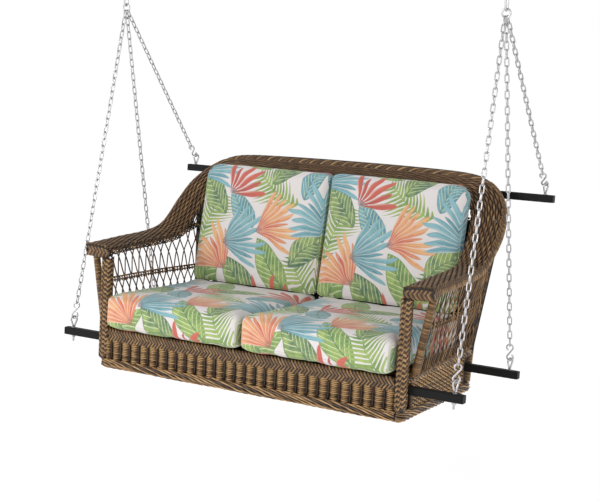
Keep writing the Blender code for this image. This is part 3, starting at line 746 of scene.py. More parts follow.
def make_cap_border():
    """The rolled border along the outer edge and the edging along the inner one."""
    s = np.linspace(0.004, CAP.length - 0.004, 620)
    radius = CAP.roll(s)
    thin = smooth((radius - 0.0075) / 0.0125)
    up, inward = unit(CAP.at(CAP.up, s)), unit(CAP.at(CAP.inward, s))
    middle = (CAP.at(CAP.outer, s) + inward * (radius + 0.001)[:, None]
              - up * (radius * 0.95 - 0.001)[:, None])
    weave = Weave()
    count, groups = 15, 5
    turns = np.cumsum(1 / (2 * np.pi * radius * 1.15)) * (s[1] - s[0])
    width = 2 * np.pi * (radius + 0.001) / count * 0.78 + 0.0008
    for k in range(count):
        angle = 2 * np.pi * (k / count - turns)
        step = (k % groups) / groups - 0.5  # strands climb in groups, each from its first to its last
        out = inward * np.cos(angle)[:, None] + up * np.sin(angle)[:, None]
        # Painted highlight and painted shade: in each group the strand that stands highest is lighter and
        # the lowest darker.
        tone = 0.40 + 0.12 * RANDOM.random() + 0.34 * (step > 0.25) - 0.30 * (step < -0.3)
        reach = radius - 0.0018 + 0.0030 * step * thin
        weave.strand(middle + out * reach[:, None], out, width, 0.0040, tone)
    # A black core inside the roll: painted shade in the gaps between its strands.
    core = 2 * radius[::4] - 0.006
    weave.strand(middle[::4], up[::4], core, core, PAINTED_SHADE_TONE, sides=8)
    inner = CAP.at(CAP.inner, s) - inward * 0.003 - up * 0.0052
    rope(weave, inner, (0, 0.3, 1), high=0.0050, deep=0.0050, count=3, pitch=0.075,
         width=0.0062, depth=0.0050, tones=(0.3, 0.7))
    weave.build("cap_border_roll")


def make_arm_details():
    """Wound pole under the outer edge, braided nose block and the edging that runs back to the rear post."""
    weave = Weave()
    s = np.linspace(0.018, CAP.distance(6.9), 200)
    up, inward = unit(CAP.at(CAP.up, s)), unit(CAP.at(CAP.inward, s))
    drop = 0.0155 + 0.0085 * (1 - smooth((CAP.station(s) - 5.6) / 1.2))
    inset = 0.0175 - 0.0085 * smooth((CAP.station(s) - 3.0) / 1.0)
    middle = CAP.at(CAP.outer, s) + inward * inset[:, None] - up * drop[:, None]
    coil(weave, middle, radius=0.0140, pitch=0.0060, depth=0.0030, tones=(0.52, 0.85))
    build_pair(weave, "arm_pole_winding")
    weave = Weave()
    block = line((0.5965, 0.0040, 0.4320), (0.7040, 0.0040, 0.4370), 0.01)
    herringbone(weave, block, UP, FORWARD, half=0.0235, pitch=0.0078, slant=0.016, size=0.0070, corner=0.012,
                tones=(0.28, 0.72))
    # A black block under the nose braid: painted shade inside it.
    weave.shade_slab(block[0] + (0.002, 0.010, 0), block[-1] + (-0.002, 0.010, 0), UP, 0.018, 0.044, step=0.02)
    outside = line((0.7040, 0.0060, 0.4360), (0.7060, 0.0600, 0.4400), 0.01)
    herringbone(weave, outside, UP, RIGHT, half=0.0200, pitch=0.0078, slant=0.014, size=0.0066, corner=0.010,
                tones=(0.28, 0.72))
    s = np.linspace(0.012, CAP.distance(3.1), 60)
    route = CAP.at(CAP.inner, s) - unit(CAP.at(CAP.up, s)) * 0.0185 + (0.0015, 0, 0)
    route = np.vstack([route, line(route[-1], (0.6000, 0.6660, 0.5250), 0.008)[1:]])
    rope(weave, even(route, 0.006), UP, high=0.0085, deep=0.0062, count=5, pitch=0.11,
         width=0.0062, depth=0.0050, wobble=0.0008, wobble_pitch=0.04, tones=(0.25, 0.75))
    wing = CAP.inner[(CAP.t > 3.2) & (CAP.t < 6.0)]
    for k in range(7):
        for sign in (-1, 1):
            start = route_at(0.512 + 0.020 * k - sign * 0.010, route[:, 1], route)
            end = route_at(0.512 + 0.020 * k + sign * 0.010, wing[:, 1], wing)
            strand = line(start, end - (0, 0, 0.006), 0.01)
            weave.strand(strand + (0.002 * sign, 0, 0), RIGHT, 0.0044, 0.0040, 0.30)
    build_pair(weave, "arm_nose_and_edging")


# ---- the back

RECLINE = math.tan(math.radians(9.6))  # how far the back leans back with height
BACK_HALF, BACK_FOOT_Y, BACK_FOOT_Z = 0.575, 0.610, 0.1525
BACK_TOP, BACK_CORNER_X = 0.722, 0.42  # the rounded top corners start at BACK_CORNER_X
BACK_CORNER, BACK_DROP = 0.155, 0.150  # how wide and how high the rounded corners are
BACK_PITCH, BACK_RIB_GAP = 0.0098, 0.031
CORNER_ROWS = 49  # rows of weave in the corners between the back and the side walls


def back_surface(u, v):
    """Points and normals of the back panel, wrapped forward at its sides. u starts at its right edge."""
    x = BACK_HALF - u
    wrap = 0.046 * smooth((np.abs(x) - 0.46) / 0.12)
    points = np.stack([x, BACK_FOOT_Y + v * RECLINE - wrap, BACK_FOOT_Z + v], axis=1)
    tilt = -0.5 * np.sign(x) * smooth((np.abs(x) - 0.45) / 0.10)
    return points, unit(np.stack([-tilt, np.ones_like(x), np.full_like(x, -RECLINE)], axis=1))


def make_back_panel():
    """The woven back, with black strips behind it as painted shade in the gaps of the weave."""
    weave = Weave()
    for row in range(int((seat_box("back_panel")[1][2] - BACK_FOOT_Z) / BACK_PITCH)):
        v = (row + 0.5) * BACK_PITCH
        over = 1 - (BACK_FOOT_Z + v - (BACK_TOP - BACK_DROP)) / BACK_DROP
        bend = BACK_CORNER * math.sqrt(max(1 - (1 - over) ** 2, 0.01))
        reach = BACK_HALF if over >= 1 else BACK_CORNER_X + bend
        u = np.arange(BACK_HALF - reach, BACK_HALF + reach, 0.0062)
        points, normals = back_surface(u, np.full_like(u, v))
        wave = flattened(np.cos(np.pi * (u / BACK_RIB_GAP + row % 2)))
        # Painted light and shade: a strand is lighter where it rides over a stake and darker where it dips
        # under one.
        tone = 0.3 + 0.25 * RANDOM.random() + 0.1 * wave
        weave.strand(points + normals * (0.0030 * wave)[:, None], normals, 0.0096, 0.0046, tone)
    for k in range(38):
        x = -BACK_HALF + BACK_RIB_GAP * k
        turn = min(max(abs(x) - BACK_CORNER_X, 0) / BACK_CORNER, 1)
        top = BACK_TOP - BACK_DROP * (1 - math.sqrt(max(1 - turn ** 2, 0.0)))
        v = np.linspace(0, top - BACK_FOOT_Z, 20)
        points, normals = back_surface(np.full_like(v, BACK_HALF - x), v)
        weave.strand(points, normals, 0.0062, 0.0044, 0.2)
        # A black strip behind each stake: painted shade in the gaps of the weave.
        weave.strand(points, normals, 0.0325, 0.0016, 0.02, sides=4)
    weave_back_corners(weave)
    weave.build("back_panel_weave", nodes=["back_panel"])


def weave_back_corners(weave):
    """Rows, and black strips behind them as painted shade, that close the corners between the back and the
    side walls.
    """
    heights = np.arange(CORNER_ROWS) * BACK_PITCH + 0.0029
    walls = wall_at_height(np.full(CORNER_ROWS, WALL_REAR), BACK_FOOT_Z + np.maximum(heights, 0.012))[0]
    starts = np.stack([np.full(CORNER_ROWS, 0.571), BACK_FOOT_Y + heights * RECLINE - 0.045], axis=1)
    share = np.linspace(0, 1, 7)
    for sign in (-1, 1):
        for row in range(CORNER_ROWS):
            spots = starts[row] + (walls[row, :2] - (0.003, 0) - starts[row]) * share[:, None]
            wave = np.cos(np.pi * (share * 2 + row % 2))
            path = np.stack([sign * spots[:, 0], spots[:, 1] + 0.0024 * wave,
                             np.full(7, BACK_FOOT_Z + heights[row])], axis=1)
            # Painted light and shade that follows the rows' over-and-under wave.
            weave.strand(path, REARWARD, 0.0104, 0.0044, 0.28 + 0.25 * RANDOM.random() + 0.1 * wave)
        # Black strips behind the rows: painted shade in the gaps of the weave.
        for part in (-0.06, 0.12, 0.37, 0.62, 0.87, 1.0):
            spots = starts + (walls[:, :2] - starts) * part
            path = np.stack([sign * spots[:, 0], spots[:, 1], BACK_FOOT_Z + heights], axis=1)
            weave.strand(path, REARWARD, 0.030, 0.0016, 0.02, sides=4)


# ---- chains and fittings

EYE_X, EYE_WIRE, EYE_ARC, EYE_HEIGHT = 0.782, 0.0035, 0.0125, 0.044
HOOK_WIRE, HOOK_ARC, HOOK_SPAN = 0.00325, 0.0115, 0.0385
EYE_TURN, HOOK_TURN = math.radians(70), math.radians(10)
RING_ARC, RING_WIRE = 0.015, 0.003
LINK_WIRE, LINK_LENGTH, LINK_ARC = 0.0050, 0.0320, 0.0068


def arc(centre, radius, start, end, steps):
    turn = np.radians(np.linspace(start, end, steps + 1))
    return np.stack([centre[0] + radius * np.cos(turn), centre[1] + radius * np.sin(turn)], axis=1)


def laid(points, origin, across, upward):
    points = np.asarray(points, float)
    return np.array(origin) + points[:, :1] * np.array(across) + points[:, 1:] * np.array(upward)


def wire(weave, points, origin, across, upward, thick, closed=True, sides=12):
    across, upward = unit(np.array(across, float)), unit(np.array(upward, float))
    path = laid(points, origin, across, upward)
    weave.strand(path, np.cross(across, upward), thick, thick, 0.5, sides, closed)


def link_outline(length):
    half = length / 2 - LINK_ARC
    return np.vstack([arc((0, half), LINK_ARC, 0, 180, 8), arc((0, -half), LINK_ARC, 180, 360, 8)])


def chain_links(weave, start, end, first_normal, last_normal):
    """Interlocked links from one wire centre to another, each a quarter turn from the last."""
    reach = np.linalg.norm(end - start)
    pitch = LINK_LENGTH - LINK_WIRE
    count = int(round((reach - LINK_LENGTH) / pitch)) + 1
    scale = reach / ((count - 1) * pitch + LINK_LENGTH)
    along = (end - start) / reach
    zero = unit(first_normal - along * first_normal.dot(along))
    quarter = np.cross(along, zero)
    target = unit(last_normal - along * last_normal.dot(along))
    goal = math.atan2(target.dot(quarter), target.dot(zero))
    total = (count - 1) * math.pi / 2
    total += (goal - total + math.pi / 2) % math.pi - math.pi / 2
    for k in range(count):
        turn = total * k / max(count - 1, 1)
        across = np.cross(zero * math.cos(turn) + quarter * math.sin(turn), along)
        middle = start + along * scale * (k * pitch + LINK_LENGTH / 2)
        wire(weave, link_outline(LINK_LENGTH * scale), middle, across, along, LINK_WIRE * 0.94, sides=8)


def to_row(point):
    return np.array(SEAT @ Vector(point))


def turned(vector):
    return np.array(SEAT.to_3x3() @ Vector(vector))


def metal_piece(weave, name, nodes):
    return weave.build(name, ZINC, "zinc_steel", nodes, Matrix.Identity(4))


def make_suspension(side, sign):
    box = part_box(f"{side}_gather_ring")
    ring = np.array((box[0] + box[1]) / 2)
    weave = Weave()
    wire(weave, arc((0, 0), RING_ARC, 0, 345, 23), ring, (1, 0, 0), (0, 0, 1), 2 * RING_WIRE, sides=14)
    metal_piece(weave, f"{side}_gather_ring_wire", [f"{side}_gather_ring"])
    for name, lean in (("front", -22), ("rear", 0), ("back", 22)):
        make_one_chain(side, sign, name, ring, lean)


def make_one_chain(side, sign, name, ring, lean):
    """Eye bolt, S-hook and chain on one bar end, all in the row frame."""
    label = f"{side}_{name}"
    low, high = seat_box(f"{label}_eye_bolt")
    eye_top = high[2] - EYE_WIRE - EYE_HEIGHT  # the bar's top face
    x, y = sign * EYE_X, (low[1] + high[1]) / 2
    across = turned((math.cos(EYE_TURN), math.sin(EYE_TURN), 0))
    upward, normal = turned((0, 0, 1)), turned((math.sin(EYE_TURN), -math.cos(EYE_TURN), 0))
    weave = Weave()
    throat = [(-0.0066, 0.0150), (-0.0030, 0.0060), (0, 0.0040), (0.0030, 0.0060), (0.0066, 0.0150)]
    outline = np.vstack([arc((0, EYE_HEIGHT - EYE_ARC), EYE_ARC, -15, 195, 24), throat])
    wire(weave, outline, to_row((x, y, eye_top)), across, upward, 2 * EYE_WIRE, sides=14)
    shank = line(to_row((x, y, eye_top + 0.006)), to_row((x, y, low[2])), 0.002)
    grooves = 0.0078 + 0.0006 * np.cos(np.pi * np.arange(len(shank)))
    weave.strand(shank, across, grooves, grooves, 0.5, sides=12)
    wire(weave, arc((0, 0), 0.0072, 0, 345, 23), to_row((x, y, eye_top + 0.0012)), across, normal, 0.0022)
    metal_piece(weave, f"{label}_eye_bolt_wire", [f"{label}_eye_bolt"])
    eye = to_row((x, y, eye_top + EYE_HEIGHT - EYE_ARC))
    pull = ring - eye
    outward = unit(pull - normal * pull.dot(normal))
    bearing = eye + outward * (EYE_ARC - EYE_WIRE)
    along = unit(ring - bearing)
    level = turned((math.cos(HOOK_TURN), math.sin(HOOK_TURN), 0))
    flat = unit(level - along * level.dot(along))
    origin = bearing + along * (HOOK_ARC - HOOK_WIRE - 0.0012)
    bend = math.degrees(math.asin(2 * HOOK_ARC / HOOK_SPAN))
    outline = np.vstack([arc((0, 0), HOOK_ARC, 62, -180 - bend, 28),
                         arc((0, HOOK_SPAN), HOOK_ARC, -bend, 242, 28)])
    weave = Weave()
    wire(weave, outline, origin, flat, along, 2 * HOOK_WIRE, closed=False, sides=14)
    metal_piece(weave, f"{label}_s_hook_wire", [f"{label}_s_hook"])
    weave = Weave()
    start = origin + along * (HOOK_SPAN + HOOK_ARC - HOOK_WIRE - LINK_WIRE / 2)
    turn = math.radians(lean)
    end = ring + np.array((math.sin(turn), 0.0, -math.cos(turn))) * (RING_ARC - RING_WIRE - LINK_WIRE / 2)
    chain_links(weave, start, end, flat, np.array((1.0, 0.0, 0.0)))
    metal_piece(weave, f"{label}_chain_links", [f"{label}_chain"])


def make_nut(side):
    """A hexagonal lock nut with its flange, round the bolt's tail."""
    low, high = seat_box(f"{side}_front_lock_nut")
    middle = (low + high) / 2
    mesh = bpy.data.meshes.new("lock_nut")
    bm = bmesh.new()
    for radius, bottom, top, count in ((0.0080, low[2], high[2] - 0.0012, 6),
                                       (0.0086, high[2] - 0.0015, high[2], 32)):
        rings = []
        for z, grow in ((bottom, -0.0008), (bottom + 0.0008, 0), (top - 0.0002, 0), (top, -0.0004)):
            rings.append([])
            for k in range(count):
                turn = math.tau * k / count
                rings[-1].append(bm.verts.new((middle[0] + (radius + grow) * math.cos(turn),
                                               middle[1] + (radius + grow) * math.sin(turn), z)))
        for a, b in zip(rings, rings[1:]):
            for k in range(count):
                bm.faces.new((a[k], a[(k + 1) % count], b[(k + 1) % count], b[k]))
        bm.faces.new(rings[0][::-1])
        bm.faces.new(rings[-1])
    bm.transform(SEAT)
    bm.to_mesh(mesh)
    bm.free()
    add_piece(f"{side}_lock_nut_body", mesh, ZINC, [f"{side}_front_lock_nut"])


def finish_frame_metal():
    """The CAD solids that stay in view get their finished materials."""
    for name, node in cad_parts.items():
        if name.endswith("end_cap"):
            material = CAP_PLASTIC
        elif name.endswith("_bar"):
            material = BLACK
        elif any(word in name for word in ("plate", "screw", "top_link")):
            material = ZINC
        else:
            continue
        node.data.materials.clear()
        node.data.materials.append(material)


def make_top_link(side, sign):
    """The long link between the ceiling bail and the gather ring."""
    low, high = (np.array(corner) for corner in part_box(f"{side}_top_link"))
    x = sign * 0.773
    top, bottom = high[2] - 0.0035, low[2] + 0.0035
    radius = 0.011
    outline = np.vstack([arc((0, top - radius), radius, 0, 180, 14),
                         arc((0, bottom + radius), radius, 180, 360, 14)])
    weave = Weave()
    wire(weave, outline, (x, 0, 0), (0, 1, 0), (0, 0, 1), 0.0070, sides=14)
    metal_piece(weave, f"{side}_top_link_wire", [f"{side}_top_link"])


# ---- cushions

CELL = 0.0080  # size of the remeshed cloth
SWELL = 0.011  # how far any point of a cushion may swell
INSET = 0.006  # how much smaller than its space a cushion starts


def soft_block(low, high, corner, crown, shape):
    """A boxed cushion a little smaller than its space, as a fine closed mesh in the seat's frame."""
    bm = bmesh.new()
    bmesh.ops.create_cube(bm, size=2.0)
    bmesh.ops.subdivide_edges(bm, edges=bm.edges[:], cuts=23, use_grid_fill=True)
    low, high = np.array(low) + INSET, np.array(high) - INSET
    half, middle = (high - low) / 2, (high + low) / 2
    for vert in bm.verts:
        flat = np.array(vert.co) * half
        core = np.clip(flat, -half + corner, half - corner)
        off = flat - core
        size = np.linalg.norm(off)
        if size > 1e-9:
            flat = core + off / size * min(size, corner)
        u, v, w = vert.co
        flat[2] += crown * (1 - u * u) * (1 - v * v) * max(w, 0)
        flat[1] -= crown * (1 - u * u) * (1 - w * w) * max(-v, 0)
        vert.co = shape(flat + middle)
    mesh = bpy.data.meshes.new("cushion")
    bm.to_mesh(mesh)
    bm.free()
    return mesh


def apply_modifiers(piece):
    graph = bpy.context.evaluated_depsgraph_get()
    made = bpy.data.meshes.new_from_object(piece.evaluated_get(graph))
    piece.modifiers.clear()
    piece.data = made


def vectors_of(mesh, word):
    """A vector of every point: co is its place and normal its normal."""
    values = np.empty(len(mesh.vertices) * 3, np.float32)
    mesh.vertices.foreach_get(word, values)
    return values.reshape(-1, 3)


def points_of(mesh):
    return vectors_of(mesh, "co").astype(float)


def set_points(mesh, points):
    mesh.vertices.foreach_set("co", points.astype(np.float32).ravel())
    mesh.update()


def inflate(mesh):
    """Blow the block up as cloth, hold every point within its swell, and subdivide once."""
    piece = bpy.data.objects.new("cushion_cloth", mesh)
    bpy.context.scene.collection.objects.link(piece)
    remesh = piece.modifiers.new("Remesh", "REMESH")
    remesh.mode, remesh.voxel_size = "VOXEL", CELL
    apply_modifiers(piece)
    rest = points_of(piece.data)
    cloth = piece.modifiers.new("Cloth", "CLOTH")
    cloth.settings.use_pressure = True
    cloth.settings.uniform_pressure_force = 4.0
    cloth.settings.effector_weights.gravity = 0.0
    cloth.settings.tension_stiffness = 12.0
    cloth.settings.compression_stiffness = 12.0
    cloth.settings.bending_stiffness = 0.6
    cloth.point_cache.frame_start, cloth.point_cache.frame_end = 1, 20
    for step in range(1, 21):
        bpy.context.scene.frame_set(step)
    apply_modifiers(piece)
    bpy.context.scene.frame_set(1)
    moved = points_of(piece.data) - rest
    moved -= moved.mean(0)
    size = np.linalg.norm(moved, axis=1, keepdims=True)
    set_points(piece.data, rest + moved * np.minimum(1.0, SWELL / np.maximum(size, 1e-9)))
    fine = piece.modifiers.new("Fine", "SUBSURF")
    fine.levels = fine.render_levels = 1
    apply_modifiers(piece)
    mesh = piece.data
    bpy.data.objects.remove(piece)
    return mesh


def fit(points, low, high):
    """Scale a cushion's points to fill its space exactly."""
    small, large = points.min(0), points.max(0)
    return low + (points - small) / (large - small) * (high - low)


def lift_rear(points, end, reach, room):
    """Raise a seat cushion's top to its highest level near its rear end, under the back cushion."""
    made = points.copy()
    y, z = points[:, 1], points[:, 2]
    middle = (z.max() + z.min()) / 2
    marks = np.linspace(y.min(), y.max(), 61)
    tops = np.full(60, middle)
    np.maximum.at(tops, np.clip(np.digitize(y, marks) - 1, 0, 59), z)
    top_here = np.interp(y, (marks[1:] + marks[:-1]) / 2, tops)
    share = np.clip((z - middle) / (top_here - middle + 1e-9), 0, 1)
    far = np.abs(y - end)
    weight = smooth((reach - far) / reach * 2) * smooth((far - room * 0.2) / room)
    made[:, 2] += (z.max() - top_here) * share * weight
    return made


def gentle(points, seed, amount):
    """Slow bumps that make one cushion differ from its neighbour."""
    made = np.random.default_rng(seed)
    total = np.zeros(len(points))
    for _ in range(7):
        wave = made.normal(size=3) * 9.0
        total += np.sin(points @ wave + made.uniform(0, 6.3))
    return total[:, None] * amount / 7


def print_places(mesh, low, high, lean, normal_up):
    """Where each point of the cover lies on the cloth, unrolled from front to top and round the sides."""
    points = points_of(mesh)
    points[:, 1] -= (points[:, 2] - low[2]) * lean
    facing = vectors_of(mesh, "normal")[:, 0]
    side = smooth((np.abs(facing) - 0.55) / 0.35)
    x, y, z = points.T
    if normal_up:
        u = x - np.sign(facing) * (high[2] - z) * side
        v = (z + (high[2] - z) * side - low[2]) + (y - low[1])
    else:
        u = x - np.sign(facing) * (y - low[1]) * side
        v = (z - low[2]) + (y - low[1]) * (1 - side)
    return np.stack([u, v, np.zeros_like(u)], axis=1)


def add_print(mesh, places):
    mesh.attributes.new("print", "FLOAT_VECTOR", "POINT").data.foreach_set(
        "vector", places.astype(np.float32).ravel())


def make_cushion(name, template, cloth, low, high, lean, normal_up, mirror, seed):
    """A sized copy of an inflated cushion, with its place on the print and its seam."""
    mesh = template.copy()
    points = points_of(mesh) * (mirror, 1, 1)
    points[:, 1] -= points[:, 2] * lean
    points = fit(points, np.array(low), np.array(high))
    if mirror < 0:
        mesh.flip_normals()
    points[:, 1] += (points[:, 2] - low[2]) * lean
    set_points(mesh, points)
    set_points(mesh, points + vectors_of(mesh, "normal") * (gentle(points, seed, 0.0035) - 0.0020))
    places = print_places(mesh, low, high, lean, normal_up) - (low[0], 0.0, 0.0)
    add_print(mesh, places)
    welt = seam(mesh, low, high, lean, normal_up)
    mesh.transform(SEAT)
    mesh.shade_smooth()
    piece = add_piece(f"{name}_cover", mesh, cloth, [name])
    add_welt(welt, f"{name}_welt", mesh, cloth, places)


def add_welt(welt, name, cover, cloth, places):
    """The seam's thin welt in the same printed cloth, so that the print runs across it."""
    piece = welt.build(name, cloth, "cushion_fabric")
    tree = KDTree(len(cover.vertices))
    for vert in cover.vertices:
        tree.insert(vert.co, vert.index)
    tree.balance()
    add_print(piece.data, np.array([places[tree.find(vert.co)[1]] for vert in piece.data.vertices]))


def seam(mesh, low, high, lean, normal_up):
    """A seam round the cushion's boxing, laid on the mesh by casting rays at it."""
    tree = BVHTree.FromPolygons([vert.co for vert in mesh.vertices],
                                [tuple(face.vertices) for face in mesh.polygons])
    middle = (np.array(low) + np.array(high)) / 2
    width, deep = (high[0] - low[0]) / 2, ((high[1] - low[1]) if normal_up else (high[2] - low[2])) / 2
    points = []
    for turn in np.linspace(0, 2 * np.pi, 241)[:-1]:
        across = math.copysign(abs(math.cos(turn)) ** 0.22, math.cos(turn)) * (width + 0.01)
        along = math.copysign(abs(math.sin(turn)) ** 0.22, math.sin(turn)) * (deep + 0.01)
        ray = []
        for share in (1.0, 0.8):
            if normal_up:
                ray.append(Vector((middle[0] + across * share, middle[1] + along * share, low[2] + 0.030)))
            else:
                z = middle[2] + along * share
                ray.append(Vector((middle[0] + across * share, low[1] + 0.030 + (z - low[2]) * lean, z)))
        hit = tree.ray_cast(ray[0], (ray[1] - ray[0]).normalized())[0]
        points.append(np.array(hit if hit is not None else tree.find_nearest(ray[0])[0]))
    points = np.array(points)
    for _ in range(2):
        points = (points + np.roll(points, 1, 0) + np.roll(points, -1, 0)) / 3
    out = unit(points - middle)
    weave = Weave()
    weave.strand(points + out * 0.0004, out, 0.0026, 0.0026, 0.5, sides=8, closed=True)
    return weave


def back_shape(point):
    """Round the outer top corner of the back cushion and lean it back."""
    radius = 0.050
    x, z = point[0] - (0.2745 - radius), point[2] - (0.7540 - radius)
    if x > 0 and z > 0:
        pull = max(x, z) / math.hypot(x, z)
        point = point - np.array((x * (1 - pull), 0, z * (1 - pull)))
    return point + np.array((0, (point[2] - 0.2955) * RECLINE, 0))


def make_cushions():
    """Two seat cushions, and two back cushions that stand on them and lean back."""
    small = soft_block((-0.290, -0.034, 0.1475), (0.290, 0.5600, 0.2955), 0.026, 0.004, lambda point: point)
    seat = inflate(small)
    set_points(seat, lift_rear(points_of(seat), end=0.56, reach=0.24, room=0.030))
    for side, sign in (("left", -1), ("right", 1)):
        near, far = sorted((sign * 0.0020, sign * 0.5850))
        make_cushion(f"{side}_seat_cushion", seat, SEAT_FABRIC,
                     (near, -0.034, 0.1475), (far, 0.5720, 0.2955),
                     lean=0.0, normal_up=True, mirror=sign, seed=31 + sign)
    small = soft_block((-0.2805, 0.506, 0.2955), (0.2805, 0.5935, 0.7600), 0.024, 0.004, back_shape)
    back = inflate(small)
    for side, sign in (("left", -1), ("right", 1)):
        near, far = sorted((sign * 0.0012, sign * 0.5690))
        make_cushion(f"{side}_back_cushion", back, BACK_FABRIC,
                     (near, 0.4980, 0.2900), (far, 0.5955, 0.7640),
                     lean=RECLINE, normal_up=False, mirror=sign, seed=47 + sign)


# ---- the printed cloth


def motif_group(name, draw, *details):
    """A node group that paints a motif over the colour under it, from the place in the motif's own frame,
    two washes and two colours. draw gives the motif's mask and its colour."""
    tree = bpy.data.node_groups.new(name, "ShaderNodeTree")
    words = ("Under", "X", "Y", "Wash", "Fine", "First", "Second")
    for word in words:
        kind = "Float" if word in ("X", "Y", "Wash", "Fine") else "Color"
        tree.interface.new_socket(word, in_out="INPUT", socket_type=f"NodeSocket{kind}")
    tree.interface.new_socket("Over", in_out="OUTPUT", socket_type="NodeSocketColor")
    graph = Graph(tree)
    given = tree.nodes.new("NodeGroupInput").outputs
    under, *values = (Value(graph, given[word]) for word in words)
    mask, colour = draw(graph, *values, *details)
    graph.put(tree.nodes.new("NodeGroupOutput").inputs["Over"], graph.mix(mask, under, colour))
    return tree


def soft_edge(inside, soft):
    """1 where inside is above 0, with a soft border."""
    return inside.scaled(1 / soft, 0.5, clamp=True)


def leaf(graph, x, y, wash, fine, light, deep, veins, broad):
    """A broad pointed leaf from (0, 0) to (1, 0) with a mid rib and slanting side veins."""
    y = y + x * (x - 1.0) * 0.22
    side = abs(y)
    curve = (x.math("MAXIMUM", 0.0) ** 0.80 * math.pi).math("SINE").math("MAXIMUM", 0.0)
    room = curve ** 0.85 * broad - side
    mask = soft_edge(room, 0.012) * x.math("COMPARE", 0.5, 0.5)
    half = y.scaled(3.0, 0.5, clamp=True)
    colour = graph.mix(half.scaled(0.50, wash.scaled(2.6, -1.12), clamp=True), deep, light)
    vein_at = ((x - side * 1.35) * veins).math("FRACT")
    colour = graph.mix(vein_at.math("COMPARE", 0.5, 0.13) * (fine * 1.1), colour, (0.66, 0.72, 0.42, 1))
    colour = graph.mix(vein_at.math("COMPARE", 0.72, 0.055) * 0.50, colour, deep)
    rib = side.math("LESS_THAN", x.scaled(-0.010, 0.013))
    colour = graph.mix(rib * 0.8, colour, (0.05, 0.14, 0.07, 1))
    return mask, graph.mix(room.scaled(-60.0, 1.3, clamp=True) * 0.75, colour, deep)


def fan(graph, x, y, wash, fine, base, tip, petals, spread, thin):
    """Long pointed petals that open like a fan from (0, 0), with the tips at a distance of about 1."""
    reach = x.scaled(x, y * y).math("SQRT")
    angle = y.math("ARCTAN2", x)
    spot = angle.scaled(petals / spread, petals / 2)
    off = spot.math("FRACT") - 0.5
    chance = graph.chance(spot.math("FLOOR"))
    along = reach / chance.scaled(0.32, 0.70)
    taper = (1.0 - along).math("MAXIMUM", 0.0) ** 0.62
    width = taper * along.scaled(1.6, 0.30, clamp=True) * (0.75 * thin)
    room = width - abs(off)
    within = spot.math("COMPARE", petals / 2, petals / 2) * along.math("LESS_THAN", 1.02)
    mask = soft_edge(room, 0.10) * within
    streak = angle.scaled(70.0, wash * 16.0).math("SINE")
    share = streak.scaled(0.20, reach.scaled(1.05, wash.scaled(1.3, -0.92)))
    colour = graph.mix(chance.scaled(0.55, share, clamp=True), base, tip)
    colour = graph.mix(off.scaled(6.0, -0.9, clamp=True) * 0.40, colour, (0.88, 0.80, 0.68, 1))
    colour = graph.mix(room.scaled(-9.0, 1.1, clamp=True) * 0.35, colour, base)
    return mask, graph.mix(reach.scaled(-9.0, 1.4, clamp=True) * 0.65, colour, (0.14, 0.035, 0.04, 1))


def frond(graph, x, y, wash, fine, light, deep):
    """A feathery frond: thin leaflets on both sides of a rib from (0, 0) to (1, 0)."""
    y = y + x * (x - 1.0) * 0.40
    side = abs(y)
    spot = x - side ** 1.25 * 0.9
    cell = spot * 14.0
    chance = graph.chance(cell.math("FLOOR"))
    arch = (spot * math.pi).math("SINE").math("MAXIMUM", 0.0).math("SQRT")
    share = side / (arch * chance.scaled(0.14, 0.30)).math("MAXIMUM", 0.02)
    width = (1.0 - share ** 2.0) * 0.36
    inside = soft_edge(width - abs(cell.math("FRACT") - 0.5), 0.12)
    within = share.math("LESS_THAN", 1.0) * spot.math("COMPARE", 0.5, 0.5)
    rib = side.math("LESS_THAN", 0.010) * x.math("COMPARE", 0.5, 0.5)
    tint = chance.scaled(0.5, wash.scaled(2.2, -0.85), clamp=True)
    return (inside * within).math("MAXIMUM", rib), graph.mix(tint, deep, light)


GREEN, LIME, PINE = (0.085, 0.215, 0.025, 1), (0.330, 0.455, 0.095, 1), (0.020, 0.105, 0.045, 1)
CORAL, RED, PEACH = (0.560, 0.085, 0.040, 1), (0.400, 0.040, 0.028, 1), (0.740, 0.400, 0.160, 1)
TEAL, SKY = (0.040, 0.200, 0.260, 1), (0.200, 0.430, 0.480, 1)
GROUND = (0.700, 0.655, 0.640, 1)

# The motifs of the print in the order they take turns: motif, size (m) and two colours.
PRINT_CYCLE = [
    ("leaf", 0.245, LIME, GREEN), ("fan", 0.205, CORAL, PEACH), ("frond", 0.235, LIME, GREEN),
    ("leaf", 0.215, LIME, PINE), ("fan", 0.215, TEAL, SKY), ("leaf", 0.190, SKY, TEAL),
    ("petals", 0.175, RED, CORAL),
]
PRINT_COLUMNS, PRINT_ROWS = 4, 5
PRINT_ACROSS, PRINT_UP = 0.150, 0.128  # steps of the half-drop repeat
PRINT_NUDGE = 0.022  # how far chance moves a motif


def half_drop(seed, low):
    """Motifs on a half-drop repeat from the height low, each nudged and turned by chance."""
    chance = np.random.default_rng(seed)
    words = []
    for column in range(PRINT_COLUMNS):
        for row in range(PRINT_ROWS):
            motif, size, first, second = PRINT_CYCLE[(3 * column + row) % len(PRINT_CYCLE)]
            across = (column + 0.5) * PRINT_ACROSS + chance.uniform(-PRINT_NUDGE, PRINT_NUDGE)
            up = low + (row + 0.5 * (column % 2)) * PRINT_UP + chance.uniform(-PRINT_NUDGE, PRINT_NUDGE)
            turn = 90 + chance.uniform(20, 75) * (1 if (column + row) % 2 else -1)
            angle = math.radians(turn)
            across -= 0.5 * size * math.cos(angle)
            up -= 0.5 * size * math.sin(angle)
            words.append((motif, across, up, angle, size, first, second))
    return sorted(words, key=lambda word: word[0] in ("fan", "petals"))


